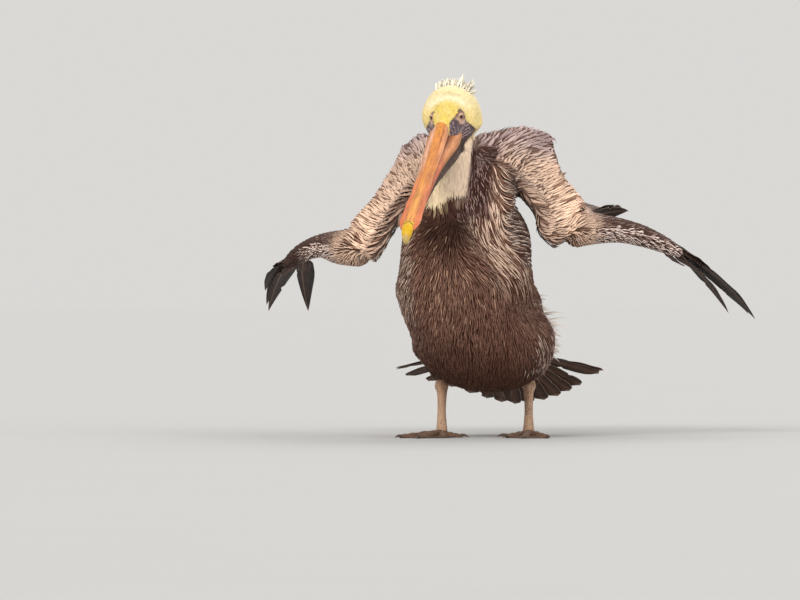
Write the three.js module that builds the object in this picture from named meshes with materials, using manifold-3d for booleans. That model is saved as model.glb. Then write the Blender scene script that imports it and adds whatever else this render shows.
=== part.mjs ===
// A life-size brown pelican standing on both feet with its wings half opened,
// the elbows raised behind the head, the wrists carried forward and low, and
// the hands trailing out and back. Millimetres, +Z up. The bird faces -Y, its
// own left is +X, and the soles lie at Z = 0.
import * as THREE from "three";
import Module from "manifold-3d";
import { mergeVertices } from "three/addons/utils/BufferGeometryUtils.js";

const wasm = await Module();
wasm.setup();

// ---------------------------------------------------------------- sizes
const GAP = 0.35; // clearance between neighbouring pieces
const BODY_YAW = 0.14; // the trunk's turn towards its own right, radians
const TRUNK_PITCH = 0.96; // trunk axis above the horizontal, radians
const BILL_LENGTH = 290;
const EYE_RADIUS = 6.4;
const TARSUS_RADIUS = 6.2;
const TOE_RADIUS = 4.6;
const WEB_THICKNESS = 1.8;
const VANE_THICKNESS = 1.5; // flight feathers

// joints of the skeleton, under the plumage
const HEAD = [-50, -46, 486];
const HEAD_AXIS = [-0.17, -0.85, -0.5];
const BILL_BASE = [-64, -98, 456];
const BILL_TIP = [-117, -333, 304];
const SIDES = {
  left: {
    sign: 1,
    lead: [ // front edge of the arm, shoulder to wrist
      [-12, 0, 400], [28, -14, 396], [52, -20, 376], [75, -24, 353],
      [86, -26, 333], [93, -25, 315], [112, -20, 295],
    ],
    trail: [ // humerus to the elbow, then ulna to the wrist
      [-16, 34, 436], [50, 128, 451], [92, 226, 446], [102, 166, 413],
      [116, 98, 381], [133, 48, 357], [146, 14, 334],
    ],
    hand: [[134, -4, 311], [168, 22, 314], [206, 52, 312], [240, 78, 304], [270, 102, 293], [300, 126, 279]],
    handDepth: [26, 23, 19, 17, 14, 9],
    tips: { p10: [424, 300, 178], p9: [414, 306, 186], p8: [384, 318, 187], p7: [350, 334, 249], p6: [334, 336, 264], p1: [249, 285, 296], s1: [228, 205, 344], s8: [152, 330, 343], s14: [112, 400, 364], t5: [40, 290, 372] },
    ankle: [69, 76, 80], toeBase: [68, 52, 8], toeOut: -0.12,
  },
  right: {
    sign: -1,
    lead: [
      [-58, -4, 400], [-86, -20, 396], [-104, -26, 376], [-120, -28, 352],
      [-136, -28, 328], [-152, -24, 301], [-171, -16, 273],
    ],
    trail: [
      [-62, 34, 434], [-87, 130, 441], [-105, 230, 431], [-128, 166, 396],
      [-152, 98, 358], [-174, 48, 331], [-192, 18, 307],
    ],
    hand: [[-186, -2, 285], [-214, 40, 287], [-240, 84, 290], [-262, 124, 285], [-282, 162, 275], [-300, 196, 262]],
    handDepth: [28, 26, 19, 16, 14, 9],
    tips: { p10: [-338, 440, 222], p9: [-336, 446, 200], p8: [-333, 448, 190], p7: [-270, 402, 190], p6: [-246, 398, 280], p1: [-222, 330, 296], s1: [-214, 210, 304], s8: [-158, 322, 326], s14: [-122, 400, 346], t5: [-70, 290, 325] },
    ankle: [-63, 76, 80], toeBase: [-63, 52, 8], toeOut: 0.36,
  },
};

// ---------------------------------------------------------------- vectors
const add = (a, b, k = 1) => a.map((x, i) => x + k * b[i]);
const sub = (a, b) => a.map((x, i) => x - b[i]);
const mul = (a, k) => a.map((x) => x * k);
const dot = (a, b) => a[0] * b[0] + a[1] * b[1] + a[2] * b[2];
const cross = (a, b) => [a[1] * b[2] - a[2] * b[1], a[2] * b[0] - a[0] * b[2], a[0] * b[1] - a[1] * b[0]];
const len = (a) => Math.hypot(...a);
const unit = (a) => mul(a, 1 / len(a));
const mix = (a, b, t) => a.map((x, i) => x + (b[i] - x) * t);
const along = (d, v) => sub(v, mul(d, dot(v, d))); // the part of v square to d
const clamp = (x, a, b) => Math.min(b, Math.max(a, x));

// Catmull-Rom through rows of numbers, u from 0 to 1
function spline(rows, u) {
  const n = rows.length - 1, x = clamp(u, 0, 1) * n, i = Math.min(n - 1, Math.floor(x)), t = x - i;
  const p = [rows[Math.max(0, i - 1)], rows[i], rows[i + 1], rows[Math.min(n, i + 2)]];
  return p[1].map((_, k) => {
    const [a, b, c, d] = p.map((r) => r[k]);
    return 0.5 * (2 * b + (c - a) * t + (2 * a - 5 * b + 4 * c - d) * t * t + (3 * b - a - 3 * c + d) * t * t * t);
  });
}

// ---------------------------------------------------------------- solids
function solid(vertices, triangles) {
  const g = new THREE.BufferGeometry();
  g.setAttribute("position", new THREE.BufferAttribute(new Float32Array(vertices.flat()), 3));
  g.setIndex(triangles.flat());
  return fromGeometry(g);
}
function fromGeometry(geometry) {
  const g = geometry.clone();
  for (const name of Object.keys(g.attributes)) if (name !== "position") g.deleteAttribute(name);
  const m = mergeVertices(g, 1e-3);
  const v = m.attributes.position.array, t = new Uint32Array(m.index.array);
  let volume = 0;
  for (let i = 0; i < t.length; i += 3) {
    const [a, b, c] = [0, 1, 2].map((k) => [v[3 * t[i + k]], v[3 * t[i + k] + 1], v[3 * t[i + k] + 2]]);
    volume += dot(a, cross(b, c));
  }
  if (volume < 0) for (let i = 0; i < t.length; i += 3) [t[i + 1], t[i + 2]] = [t[i + 2], t[i + 1]];
  return new wasm.Manifold(new wasm.Mesh({ numProp: 3, vertProperties: v, triVerts: t }));
}

// A closed skin over rings of equal length; each end closes on a point.
function rings(list, startPoint, endPoint) {
  const n = list[0].length, v = list.flat(), t = [];
  const a = v.push(startPoint) - 1, b = v.push(endPoint) - 1;
  for (let i = 0; i < list.length - 1; i++)
    for (let j = 0; j < n; j++) {
      const p = i * n + j, q = i * n + ((j + 1) % n);
      t.push([p, q, q + n], [p, q + n, p + n]);
    }
  for (let j = 0; j < n; j++) {
    const k = (j + 1) % n, last = (list.length - 1) * n;
    t.push([a, k, j], [b, last + j, last + k]);
  }
  return solid(v, t);
}

// Loft of super-elliptic sections. Each station: centre, half width, half
// height up, half height down. "side" is the direction of the half width.
function loft(stations, side, { sections = 10, sides = 12, power = 2, grow = 0, round = 0.55 } = {}) {
  const row = (s) => [...s.c, s.w + grow, s.u + grow, s.d + grow];
  const rows = stations.map(row), list = [];
  for (let i = 0; i <= sections; i++) {
    const u = i / sections, s = spline(rows, u), c = s.slice(0, 3);
    const tangent = unit(sub(spline(rows, u + 0.01).slice(0, 3), spline(rows, u - 0.01).slice(0, 3)));
    const a = unit(along(tangent, side)), up = cross(tangent, a);
    const ring = [];
    for (let j = 0; j < sides; j++) {
      const q = (2 * Math.PI * (j + 0.5)) / sides, cq = Math.cos(q), sq = Math.sin(q);
      const f = (x) => Math.sign(x) * Math.abs(x) ** (2 / power);
      ring.push(add(add(c, a, s[3] * f(cq)), up, (sq > 0 ? s[4] : s[5]) * f(sq)));
    }
    ring.centre = c; ring.tangent = tangent; ring.size = Math.min(s[3], s[4], s[5]);
    list.push(ring);
  }
  const first = list[0], last = list[list.length - 1];
  return rings(list, add(first.centre, first.tangent, -first.size * round), add(last.centre, last.tangent, last.size * round));
}

// A panel such as an arm or a hand: rows from its front edge to its rear edge,
// with a half thickness at the front, the middle and the rear.
function panel(front, rear, half, { rows = 12, across = 5, camber = 0, grow = 0 } = {}) {
  const list = [], centre = [];
  for (let i = 0; i <= rows; i++) {
    const u = i / rows, f = spline(front, u), r = spline(rear, u), h = spline(half, u);
    const e = 0.02, span = sub(mix(spline(front, u + e), spline(rear, u + e), 0.5), mix(spline(front, u - e), spline(rear, u - e), 0.5));
    const chord = unit(sub(r, f)), n = unit(along(chord, along(unit(span), cross(chord, span))));
    const top = [], bottom = [];
    const lead = add(f, chord, -h[0] * 0.9 - grow), tail = add(r, chord, h[2] * 0.8 + grow);
    for (let j = 0; j < across; j++) {
      const s = j / (across - 1), w = s < 0.5 ? h[0] + (h[1] - h[0]) * 2 * s : h[1] + (h[2] - h[1]) * (2 * s - 1);
      const p = add(mix(f, r, s), n, camber * 4 * s * (1 - s));
      top.push(add(p, n, w + grow)); bottom.push(add(p, n, -w - grow));
    }
    list.push([lead, ...top, tail, ...bottom.reverse()]);
    centre.push(mix(f, r, 0.5));
  }
  const s = sub(centre[0], centre[1]), e = sub(centre[rows], centre[rows - 1]);
  const half0 = spline(half, 0)[1] * 0.6, half1 = spline(half, 1)[1] * 0.6;
  return rings(list, add(centre[0], unit(s), half0), add(centre[rows], unit(e), half1));
}

const STEPS = [0.3, 0.66, 0.9];
// One flight feather: a thin lens from root to tip, bowed along "bow".
function blade(root, tip, side, width, { bow = [0, 0, 0], thick = VANE_THICKNESS, steps = 5, blunt = 0, base = 0.5 } = {}) {
  const list = [];
  const dir = unit(sub(tip, root)), s = unit(along(dir, side)), n = cross(s, dir);
  for (const t of [0, ...STEPS.slice(-(steps - 1))]) {
    const c = add(mix(root, tip, t), bow, 4 * t * (1 - t));
    const w = (width / 2) * profile(t, blunt, base), h = (thick / 2) * (1.15 - 0.5 * t);
    list.push([add(c, s, w), add(c, n, h), add(c, s, -w), add(c, n, -h)]);
  }
  return rings(list, add(root, dir, -1), tip);
}
// Several feathers joined side by side into one thin fan: "rootAt" and "tipAt"
// give its two long edges; every feather has a raised shaft and a rounded tip.
function fan(rootAt, tipAt, count, { thick = 2, notch = 0.07, bow = 8, ridge = 0.5, rows = [0, 0.45, 0.8, 1], dorsalHint = [0, 0, 1] } = {}) {
  const top = [], bottom = [], columns = 2 * count + 1, n = rows.length;
  for (let j = 0; j < columns; j++) {
    const u = j / (columns - 1), e = 0.02, r = rootAt(u), tip = tipAt(u), dir = unit(sub(tip, r));
    const over = add(sub(tipAt(Math.min(1, u + e)), tipAt(Math.max(0, u - e))), sub(rootAt(Math.min(1, u + e)), rootAt(Math.max(0, u - e))));
    let up = unit(cross(dir, along(dir, over)));
    if (dot(up, dorsalHint) < 0) up = mul(up, -1);
    const centre = j % 2 === 1, reach = centre ? 1 : 1 - notch;
    for (const t of rows) {
      const c = add(mix(r, tip, t * reach), up, 4 * bow * t * (1 - t));
      const h = (thick / 2) * (1.1 - 0.45 * t);
      top.push(add(c, up, h + (centre ? ridge : 0))); bottom.push(add(c, up, -h));
    }
  }
  const t = [], N = top.length, id = (j, i) => j * n + i;
  for (let j = 0; j < columns - 1; j++)
    for (let i = 0; i < n - 1; i++) {
      const [a, b, c, d] = [id(j, i), id(j + 1, i), id(j + 1, i + 1), id(j, i + 1)];
      t.push([a, b, c], [a, c, d], [N + a, N + c, N + b], [N + a, N + d, N + c]);
    }
  const wall = (a, b) => t.push([a, N + a, N + b], [a, N + b, b]); // outward beside the top
  for (let j = 0; j < columns - 1; j++) { wall(id(j, 0), id(j + 1, 0)); wall(id(j + 1, n - 1), id(j, n - 1)); }
  for (let i = 0; i < n - 1; i++) { wall(id(0, i + 1), id(0, i)); wall(id(columns - 1, i), id(columns - 1, i + 1)); }
  return solid([...top, ...bottom], t);
}
function profile(t, blunt, base) {
  const open = base + (1 - base) * Math.min(1, t / 0.3);
  const k = 0.62 + 0.25 * blunt;
  return open * (t < k ? 1 : Math.sqrt(Math.max(0, 1 - ((t - k) / (1.02 - k)) ** (1.6 + 2 * blunt))));
}
const join = (list) => list.reduce((a, b) => a.add(b));

// ---------------------------------------------------------------- trunk
// Stations along the trunk axis: s up the axis, then the dorsal and ventral
// reach square to it, the half width and the sideways place of the centre.
const TRUNK = [
  [2, 184, 158, 26, 24], [10, 194, 138, 44, 22], [24, 203, 92, 64, 15], [44, 211, 55, 82, 8],
  [78, 224, 27, 104, 3], [122, 237, 14, 109, -5], [170, 246, 14, 104, -24.5],
  [220, 251, 26, 100, -27], [264, 253, 50, 96, -26.5], [298, 253, 84, 82, -34],
  [326, 250, 124, 76, -27], [346, 244, 168, 58, -27], [356, 234, 196, 38, -27],
];
const side0 = [Math.cos(BODY_YAW), -Math.sin(BODY_YAW), 0];
const axisUp = [0, -Math.cos(TRUNK_PITCH), Math.sin(TRUNK_PITCH)];
const axisBack = [0, Math.sin(TRUNK_PITCH), Math.cos(TRUNK_PITCH)];
function trunkRings(grow, sections, sides) {
  const list = [];
  for (let i = 0; i <= sections; i++) {
    const [s, nd, nv, w, x] = spline(TRUNK, i / sections), ring = [];
    const c = add(add([x, 0, 0], axisUp, s), axisBack, (nd + nv) / 2);
    for (let j = 0; j < sides; j++) {
      const q = (2 * Math.PI * (j + 0.5)) / sides;
      const k = 1 + 0.05 * Math.max(0, -Math.sin(q)) * Math.abs(Math.cos(q));
      ring.push(add(add(c, side0, (w + grow) * Math.cos(q) * k), axisBack, ((nd - nv) / 2 + grow) * Math.sin(q)));
    }
    ring.centre = c;
    list.push(ring);
  }
  return rings(list, add(list[0].centre, axisUp, -6 - grow), add(list[sections].centre, axisUp, 8 + grow));
}
const trunkSolid = trunkRings(0, 15, 18);
const trunkGrown = trunkRings(GAP, 15, 18);

// ---------------------------------------------------------------- head and neck
const headAxis = unit(HEAD_AXIS), headSide = unit(along(headAxis, [1, -0.2, 0.04])), headUp = cross(headAxis, headSide);
const at = (along_, up, side) => add(add(add(HEAD, headAxis, along_), headUp, up), headSide, side);
// from the nape forward to the feathered forehead
const HEAD_STATIONS = [
  { c: at(-52, -8, 0), w: 22, u: 28, d: 12 }, { c: at(-42, -11, 0), w: 35, u: 44, d: 21 },
  { c: at(-24, -13, -1), w: 43, u: 52, d: 29 }, { c: at(-5, -13.5, -1), w: 45, u: 55.5, d: 31 },
  { c: at(14, -10, -0.5), w: 38, u: 48, d: 30 }, { c: at(28, -3, 0), w: 27, u: 33, d: 32 },
  { c: at(42, -5, 0), w: 21.5, u: 20, d: 31 }, { c: at(58, -12, 0), w: 18, u: 16, d: 26 },
];
const NECK = [
  { c: [-47, -30, 470], w: 27, u: 26, d: 26 }, { c: [-46, -38, 438], w: 35, u: 32, d: 32 },
  { c: [-48, -46, 402], w: 34, u: 33, d: 32 }, { c: [-52, -50, 366], w: 32, u: 34, d: 32 },
  { c: [-50, -44, 334], w: 36, u: 36, d: 34 }, { c: [-42, -28, 306], w: 34, u: 32, d: 32 },
];
const CREST_SPIKES = 7;
let headSolid = loft(HEAD_STATIONS, headSide, { sections: 10, sides: 14 });
// spiky feathers over the rear of the crown
for (let i = 0; i < CREST_SPIKES; i++) {
  const q = (i / (CREST_SPIKES - 1)) * 2 - 1;
  const root = at(-20, 34 - 9 * q * q, 27 * q), tip = at(-30 - 5 * Math.cos(3 * i), 47 - 9 * q * q + 4 * Math.sin(5 * i + 2), 30 * q);
  headSolid = headSolid.add(blade(root, tip, headSide, 7, { thick: 5, steps: 2, base: 1 }));
}
let neckSolid = loft(NECK, [1, -0.1, 0], { sections: 9, sides: 12 });

// thin cuts: a slab across the whole body between two named parts
function slab(point, normal, thickness = GAP, size = 400) {
  const box = new THREE.BoxGeometry(size, size, thickness);
  const q = new THREE.Quaternion().setFromUnitVectors(new THREE.Vector3(0, 0, 1), new THREE.Vector3(...unit(normal)));
  box.applyQuaternion(q).translate(...point);
  return fromGeometry(box);
}
function halfSpace(point, normal, size = 700) {
  const n = unit(normal);
  return slab(add(point, n, size / 2), n, size, size * 1.5);
}
const headCut = [-46, -36, 444], headCutNormal = [0.02, 0.42, -0.9];
const BILL_PLANE = at(46, -8, 0);

// ---------------------------------------------------------------- bill
const billAxis = unit(sub(BILL_TIP, BILL_BASE)), billSide = unit(along(billAxis, [1, -0.2, -0.06])), billUp = cross(billAxis, billSide);
const bill = (t, up, side) => add(add(add(BILL_BASE, billAxis, t), billUp, up), billSide, side);
function billLoft(list, grow = 0, sections = 9, sides = 10, power = 2.4) {
  return loft(list.map(([t, w, top, bottom]) => ({ c: bill(t, (top + bottom) / 2, 0), w, u: (top - bottom) / 2, d: (top - bottom) / 2 })), billSide, { sections, sides, power, grow, round: 0.25 });
}
// along the bill: distance, half width, top, bottom
const UPPER = [[-20, 15, 21, -7], [2, 14, 17.5, -6], [20, 13.5, 13, -5], [60, 12.5, 9.5, -3.5], [120, 12, 6.5, -3], [180, 12.5, 5.5, -3], [230, 14.5, 5, -3.2], [258, 14.5, 4.5, -3.5], [274, 11, 4, -4]];
const LOWER = [[-20, 24, -4, -28], [2, 24.5, -3.5, -26], [24, 23, -2.5, -23], [60, 19, -1, -19], [120, 14.5, -0.5, -13], [180, 13, -0.5, -10], [230, 12, -0.8, -9], [262, 8, -1.5, -8]];
const POUCH = [[-24, 24, -20, -52], [10, 24, -19, -50], [50, 17.5, -16, -43], [110, 11.5, -10, -31], [170, 9, -8, -21], [222, 4.5, -7.5, -12.5]];
const NAIL = [[262, 8, 6.5, -2], [274, 8.5, 6.3, -6], [284, 7, 4.5, -12], [291, 4, -2, -17]];

// ---------------------------------------------------------------- build
const pieces = [];
const SKIN = 0x8a7a6c;
function put(name, made, color, roughness = 0.85) { pieces.push([name, made, color, roughness]); }

const eyeAt = (q) => at(29.5, 10, 21.5 * q);
const eyes = [1, -1].map((q) => fromGeometry(new THREE.SphereGeometry(EYE_RADIUS, 12, 8).translate(...eyeAt(q))));
const sockets = [1, -1].map((q) => fromGeometry(new THREE.SphereGeometry(EYE_RADIUS + GAP, 12, 8).translate(...eyeAt(q))));

const billFront = halfSpace(BILL_PLANE, billAxis), billFrontGrown = halfSpace(add(BILL_PLANE, billAxis, GAP), billAxis);
const neckAll = neckSolid.subtract(trunkGrown);
const aboveCut = halfSpace(add(headCut, unit(headCutNormal), -GAP / 2), mul(headCutNormal, -1));
const belowCut = halfSpace(add(headCut, unit(headCutNormal), GAP / 2), headCutNormal);
let head = headSolid.add(neckSolid.intersect(aboveCut)).intersect(aboveCut).subtract(billFront);
head = head.subtract(sockets[0]).subtract(sockets[1]);
const neckMid = [-49, -47, 394], neckMidNormal = [0, 0.1, -1];
const neckPart = neckAll.intersect(belowCut);
const neckUpper = largest(neckPart.intersect(halfSpace(add(neckMid, unit(neckMidNormal), -GAP / 2), mul(neckMidNormal, -1))));
const neckLower = neckPart.intersect(halfSpace(add(neckMid, unit(neckMidNormal), GAP / 2), neckMidNormal));

const upperRaw = billLoft(UPPER).intersect(billFrontGrown);
const nail = billLoft(NAIL, 0, 6, 8, 2);
const upper = upperRaw.subtract(billLoft(NAIL, GAP, 6, 8, 2));
const upperGrown = billLoft(UPPER, GAP);
const lower = billLoft(LOWER).intersect(billFrontGrown).subtract(upperGrown).subtract(billLoft(NAIL, GAP, 6, 8, 2));
const pouch = billLoft(POUCH, 0, 8, 10, 2).intersect(halfSpace(add(BILL_PLANE, billAxis, GAP), billAxis)).subtract(billLoft(LOWER, GAP)).subtract(loft(NECK, [1, -0.1, 0], { sections: 9, sides: 12, grow: GAP }));

// feathered shanks, let into the belly
const thighStations = (S) => [
  { c: add(S.ankle, [-4 * S.sign, -10, 78]), w: 30, u: 40, d: 40 }, { c: add(S.ankle, [-3 * S.sign, -8, 50]), w: 34, u: 42, d: 42 },
  { c: add(S.ankle, [-1 * S.sign, -4, 26]), w: 23, u: 26, d: 26 }, { c: add(S.ankle, [0, 0, 11]), w: 11, u: 12, d: 12 },
];
const thighs = Object.fromEntries(Object.entries(SIDES).map(([k, S]) => [k, loft(thighStations(S), [1, 0, 0], { sections: 4, sides: 10 })]));
const thighsGrown = Object.values(SIDES).map((S) => loft(thighStations(S), [1, 0, 0], { sections: 4, sides: 10, grow: GAP }));
const tarsusStations = (S) => [
  { c: add(S.ankle, [0, 0, 6]), w: 7, u: 8, d: 8 }, { c: add(S.ankle, [0, 0, -3]), w: 9.6, u: 11, d: 10 }, { c: add(S.ankle, [-0.5 * S.sign, -4, -14]), w: 7.4, u: 8.5, d: 8 },
  { c: mix(S.ankle, S.toeBase, 0.55), w: TARSUS_RADIUS, u: 8, d: 8 }, { c: add(S.toeBase, [0, 1, 10]), w: 7.6, u: 8.5, d: 8.5 }, { c: add(S.toeBase, [0, 0, 1]), w: 9, u: 10, d: 10 },
];
const makeTarsus = (S, grow) => loft(tarsusStations(S), [1, 0, 0], { sections: 8, sides: 8, round: 0.2, grow });
let trunkCut = trunkSolid.subtract(thighsGrown[0]).subtract(thighsGrown[1]);
for (const S of Object.values(SIDES)) trunkCut = trunkCut.subtract(makeTarsus(S, GAP));
put("trunk", largest(trunkCut), 0x4a3a33);
put("head", head, 0xeadf9c);
put("neck_upper", neckUpper, 0xe8dfc8);
put("neck_lower", neckLower, 0xe8dfc8);
put("bill_upper", upper, 0xe08a4a, 0.5);
put("bill_nail", nail, 0xd8b23a, 0.4);
put("bill_lower", lower, 0xd9764a, 0.5);
put("pouch", pouch, 0x4a4248, 0.7);
put("eye_left", eyes[0], 0x2a2018, 0.1);
put("eye_right", eyes[1], 0x2a2018, 0.1);

// ---------------------------------------------------------------- tail
const TAIL_FEATHERS = 14;
// where the tips lie from the bird's right to its left, and the roots under them
const TAIL_TIPS = [[-132, 205, 109], [-122, 246, 89], [-54, 276, 80], [4, 286, 66], [54, 286, 49], [112, 268, 56], [156, 242, 79], [183, 206, 104]];
const TAIL_ROOTS = [[2, 120, 124], [8, 126, 122], [16, 130, 120], [24, 132, 119], [32, 132, 118], [40, 130, 118], [48, 126, 119], [54, 120, 121]];
const tailFan = fan((u) => add(spline(TAIL_ROOTS, u), [0, 0, 1.5 * Math.sin(Math.PI * u)]), (u) => spline(TAIL_TIPS, u), TAIL_FEATHERS, { bow: 4, notch: 0.06, rows: [0, 0.55, 1] });
const tailHub = loft([{ c: [27, 118, 127], w: 34, u: 10, d: 10 }, { c: [28, 150, 116], w: 40, u: 8, d: 8 }, { c: [30, 178, 105], w: 40, u: 5, d: 5 }], [1, -0.1, 0], { sections: 4, sides: 10 });
put("tail", tailHub.add(tailFan).subtract(trunkGrown), 0x4b4038);

// ---------------------------------------------------------------- wings, legs
for (const [name, S] of Object.entries(SIDES)) {
  const g = S.sign;
  const armHalf = [[20, 20, 20], [15, 17, 22], [13, 14, 22], [13, 14, 19], [14, 15, 18], [15, 17, 18], [17, 20, 20]];
  const arm = panel(S.lead, S.trail, armHalf, { rows: 12, across: 5, camber: 6 * g }).subtract(trunkGrown);
  // hand
  const handStations = S.hand.map((c, i) => ({ c, w: S.handDepth[i] * 1.15, u: S.handDepth[i], d: S.handDepth[i] }));
  const handGrown = loft(handStations, [0, 1, 0.3], { sections: 8, sides: 10, grow: GAP });
  const hand = loft(handStations, [0, 1, 0.3], { sections: 8, sides: 10 });
  const elbow = S.trail[2], front = S.lead[2];
  const cutNormal = unit(cross(sub(elbow, front), cross(sub(S.trail[3], S.lead[3]), sub(S.lead[5], S.lead[1]))));
  const towardsWrist = dot(cutNormal, sub(S.lead[6], front)) > 0 ? cutNormal : mul(cutNormal, -1);
  const cutAt = mix(front, elbow, 0.5);
  const armUpper = arm.intersect(halfSpace(add(cutAt, towardsWrist, -GAP / 2), mul(towardsWrist, -1)));
  const armFore = arm.subtract(handGrown).intersect(halfSpace(add(cutAt, towardsWrist, GAP / 2), towardsWrist));
  put(`wing_${name}_upper_arm`, largest(armUpper), 0xb7a99c);
  put(`wing_${name}_forearm`, largest(armFore), 0xb7a99c);
  put(`wing_${name}_hand`, hand, 0x9a8d84);
  const armGrown = panel(S.lead, S.trail, armHalf, { rows: 12, across: 5, camber: 6 * g, grow: 2 * GAP });

  // primaries: ten on the hand, the outer ones set apart at their tips
  const T = S.tips, tipOf = (i) => i > 6 ? T[`p${i}`] : mix(T.p1, T.p6, (i - 1) / 5);
  const rootOf = (i) => spline(S.hand, 0.2 + (0.8 * (i - 1)) / 9);
  // the feather bases form a low ridge behind the hand
  const ridgeAt = (u) => {
    const c = spline(S.hand, u), t = unit(sub(spline(S.hand, u + 0.02), spline(S.hand, u - 0.02)));
    return add(add(c, unit(along(t, sub(T.p1, c))), spline(S.handDepth.map((d) => [d]), u)[0] + 1), t, 6);
  };
  const makePrimaries = (grow) => {
    const list = [fan((u) => rootOf(1 + 5 * u), (u) => tipOf(1 + 5 * u), 6, { bow: 12, thick: 2 + 2.6 * grow, dorsalHint: [0, -0.2, 1] })];
    for (let i = 10; i >= 7; i--) {
      const root = rootOf(i), tip = tipOf(i);
      const dir = unit(sub(tip, root)), s = along(dir, sub(T.p1, T.p10)), n = unit(cross(dir, s));
      const dorsal = n[2] > 0 ? n : mul(n, -1), width = i > 8 ? 26 : g > 0 ? 20 : i === 7 ? 26 : 34;
      list.push(blade(add(root, dorsal, 0.5 * i - 3), tip, s, width + 2 * grow, { bow: mul(dorsal, 9), steps: 4, base: 0.6, thick: VANE_THICKNESS + 3 * grow }));
    }
    list.push(loft([0.15, 0.4, 0.7, 0.97].map((u) => ({ c: ridgeAt(u), w: 9 - 3 * u, u: 9 - 3 * u, d: 9 - 3 * u })), [0, 0, 1], { sections: 4, sides: 8, grow }));
    return join(list);
  };
  const primaries = largest(makePrimaries(0).subtract(handGrown).subtract(armGrown));
  put(`wing_${name}_primaries`, primaries, 0x2a211d, 0.6);

  // secondaries on the ulna and tertials on the humerus
  const under = [0, 4, -9];
  const rootLine = [add(S.trail[6], [0, 6, -16]), add(S.trail[5], [0, 4, -12]), add(S.trail[4], under), add(S.trail[3], under), add(S.trail[2], under), mix(S.trail[2], S.trail[1], 0.8)];
  const tipLine = [T.s1, mix(T.s1, T.s8, 0.55), T.s8, mix(T.s8, T.s14, 0.6), T.s14, T.t5];
  const secondaries = fan((u) => spline(rootLine, u), (u) => spline(tipLine, u), 12, { bow: 9, thick: 2.4, notch: 0.05 })
    .subtract(armGrown).subtract(handGrown).subtract(trunkGrown).subtract(makePrimaries(GAP));
  put(`wing_${name}_secondaries`, largest(secondaries), 0x6a5c52, 0.7);

  // leg
  const thigh = thighs[name];
  const tarsusRaw = makeTarsus(S, 0), thighCut = makeTarsus(S, GAP);
  const foot = makeFoot(S);
  const tarsus = tarsusRaw.intersect(halfSpace([0, 0, 9.4 + GAP], [0, 0, 1]));
  put(`thigh_${name}`, largest(thigh.subtract(thighCut)), 0x3c2e28);
  put(`tarsus_${name}`, largest(tarsus), SKIN, 0.7);
  put(`foot_${name}`, largest(foot.body.add(tarsusRaw.intersect(halfSpace([0, 0, 9.4], [0, 0, -1])).intersect(halfSpace([0, 0, 2], [0, 0, 1])))), SKIN, 0.7);
  foot.claws.forEach((c, i) => put(`claw_${name}_${i + 1}`, c, 0x2b2724, 0.5));
}

// Toes I to IV: turn from straight ahead (outwards positive) and length.
function makeFoot(S) {
  const g = S.sign, base = [S.toeBase[0], S.toeBase[1], 0];
  const toes = [[-1.35, 36, 0.8], [-0.42, 66, 0.9], [0.02, 92, 1], [0.42, 88, 0.95]].map(([turn, length, fat]) => {
    const a = (turn + S.toeOut) * g;
    return { dir: [Math.sin(a), -Math.cos(a), 0], length, fat };
  });
  const list = [], claws = [], outline = [];
  for (const { dir, length, fat } of toes) {
    const r = TOE_RADIUS * fat, side = [dir[1], -dir[0], 0];
    const rows = [];
    for (let i = 0; i <= 3; i++) {
      const t = i / 3, c = add(base, dir, t * length), w = r * (1.25 - 0.35 * t) * (i === 3 ? 0.8 : 1), h = 2 * r * (1.15 - 0.45 * t);
      rows.push([add(c, side, w), add(add(c, side, w), [0, 0, 0.45 * h]), add(add(c, side, 0.5 * w), [0, 0, h * 0.92]), add(add(c, side, -0.5 * w), [0, 0, h * 0.92]), add(add(c, side, -w), [0, 0, 0.45 * h]), add(c, side, -w)]);
    }
    list.push(rings(rows, add(add(base, dir, -4), [0, 0, 2]), add(add(base, dir, length + 2.5), [0, 0, 2])));
    outline.push(add(base, dir, length - 3));
    const c0 = add(add(base, dir, length - 2), [0, 0, 3.4]), c1 = add(add(base, dir, length + 6), [0, 0, 3.4]), c2 = add(add(base, dir, length + 12), [0, 0, 1.2]);
    claws.push({ stations: [{ c: c0, w: 2.2, u: 2.4, d: 2.2 }, { c: c1, w: 1.9, u: 2.1, d: 1.8 }, { c: c2, w: 0.5, u: 0.6, d: 0.5 }], side });
  }
  // webs between neighbouring toes, each with a hollowed front edge
  const shape = new THREE.Shape();
  shape.moveTo(base[0], base[1]);
  outline.forEach((p, i) => {
    if (i === 0) shape.lineTo(p[0], p[1]);
    else {
      const q = outline[i - 1], m = mix(mix(p, q, 0.5), base, 0.13);
      for (let k = 1; k <= 3; k++) {
        const t = k / 3, x = [0, 1].map((j) => (1 - t) ** 2 * q[j] + 2 * t * (1 - t) * m[j] + t * t * p[j]);
        shape.lineTo(x[0], x[1]);
      }
    }
  });
  shape.closePath();
  const web = fromGeometry(new THREE.ExtrudeGeometry(shape, { depth: WEB_THICKNESS, bevelEnabled: false }));
  const body = join([web, ...list]);
  const clawsMade = claws.map(({ stations, side }) => loft(stations, side, { sections: 3, sides: 7, round: 0.3 }));
  const clawsGrown = claws.map(({ stations, side }) => loft(stations, side, { sections: 3, sides: 7, round: 0.3, grow: GAP }));
  return { body: clawsGrown.reduce((a, c) => a.subtract(c), body), claws: clawsMade };
}
function largest(m) {
  return m.decompose().sort((a, b) => b.volume() - a.volume())[0];
}

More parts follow.
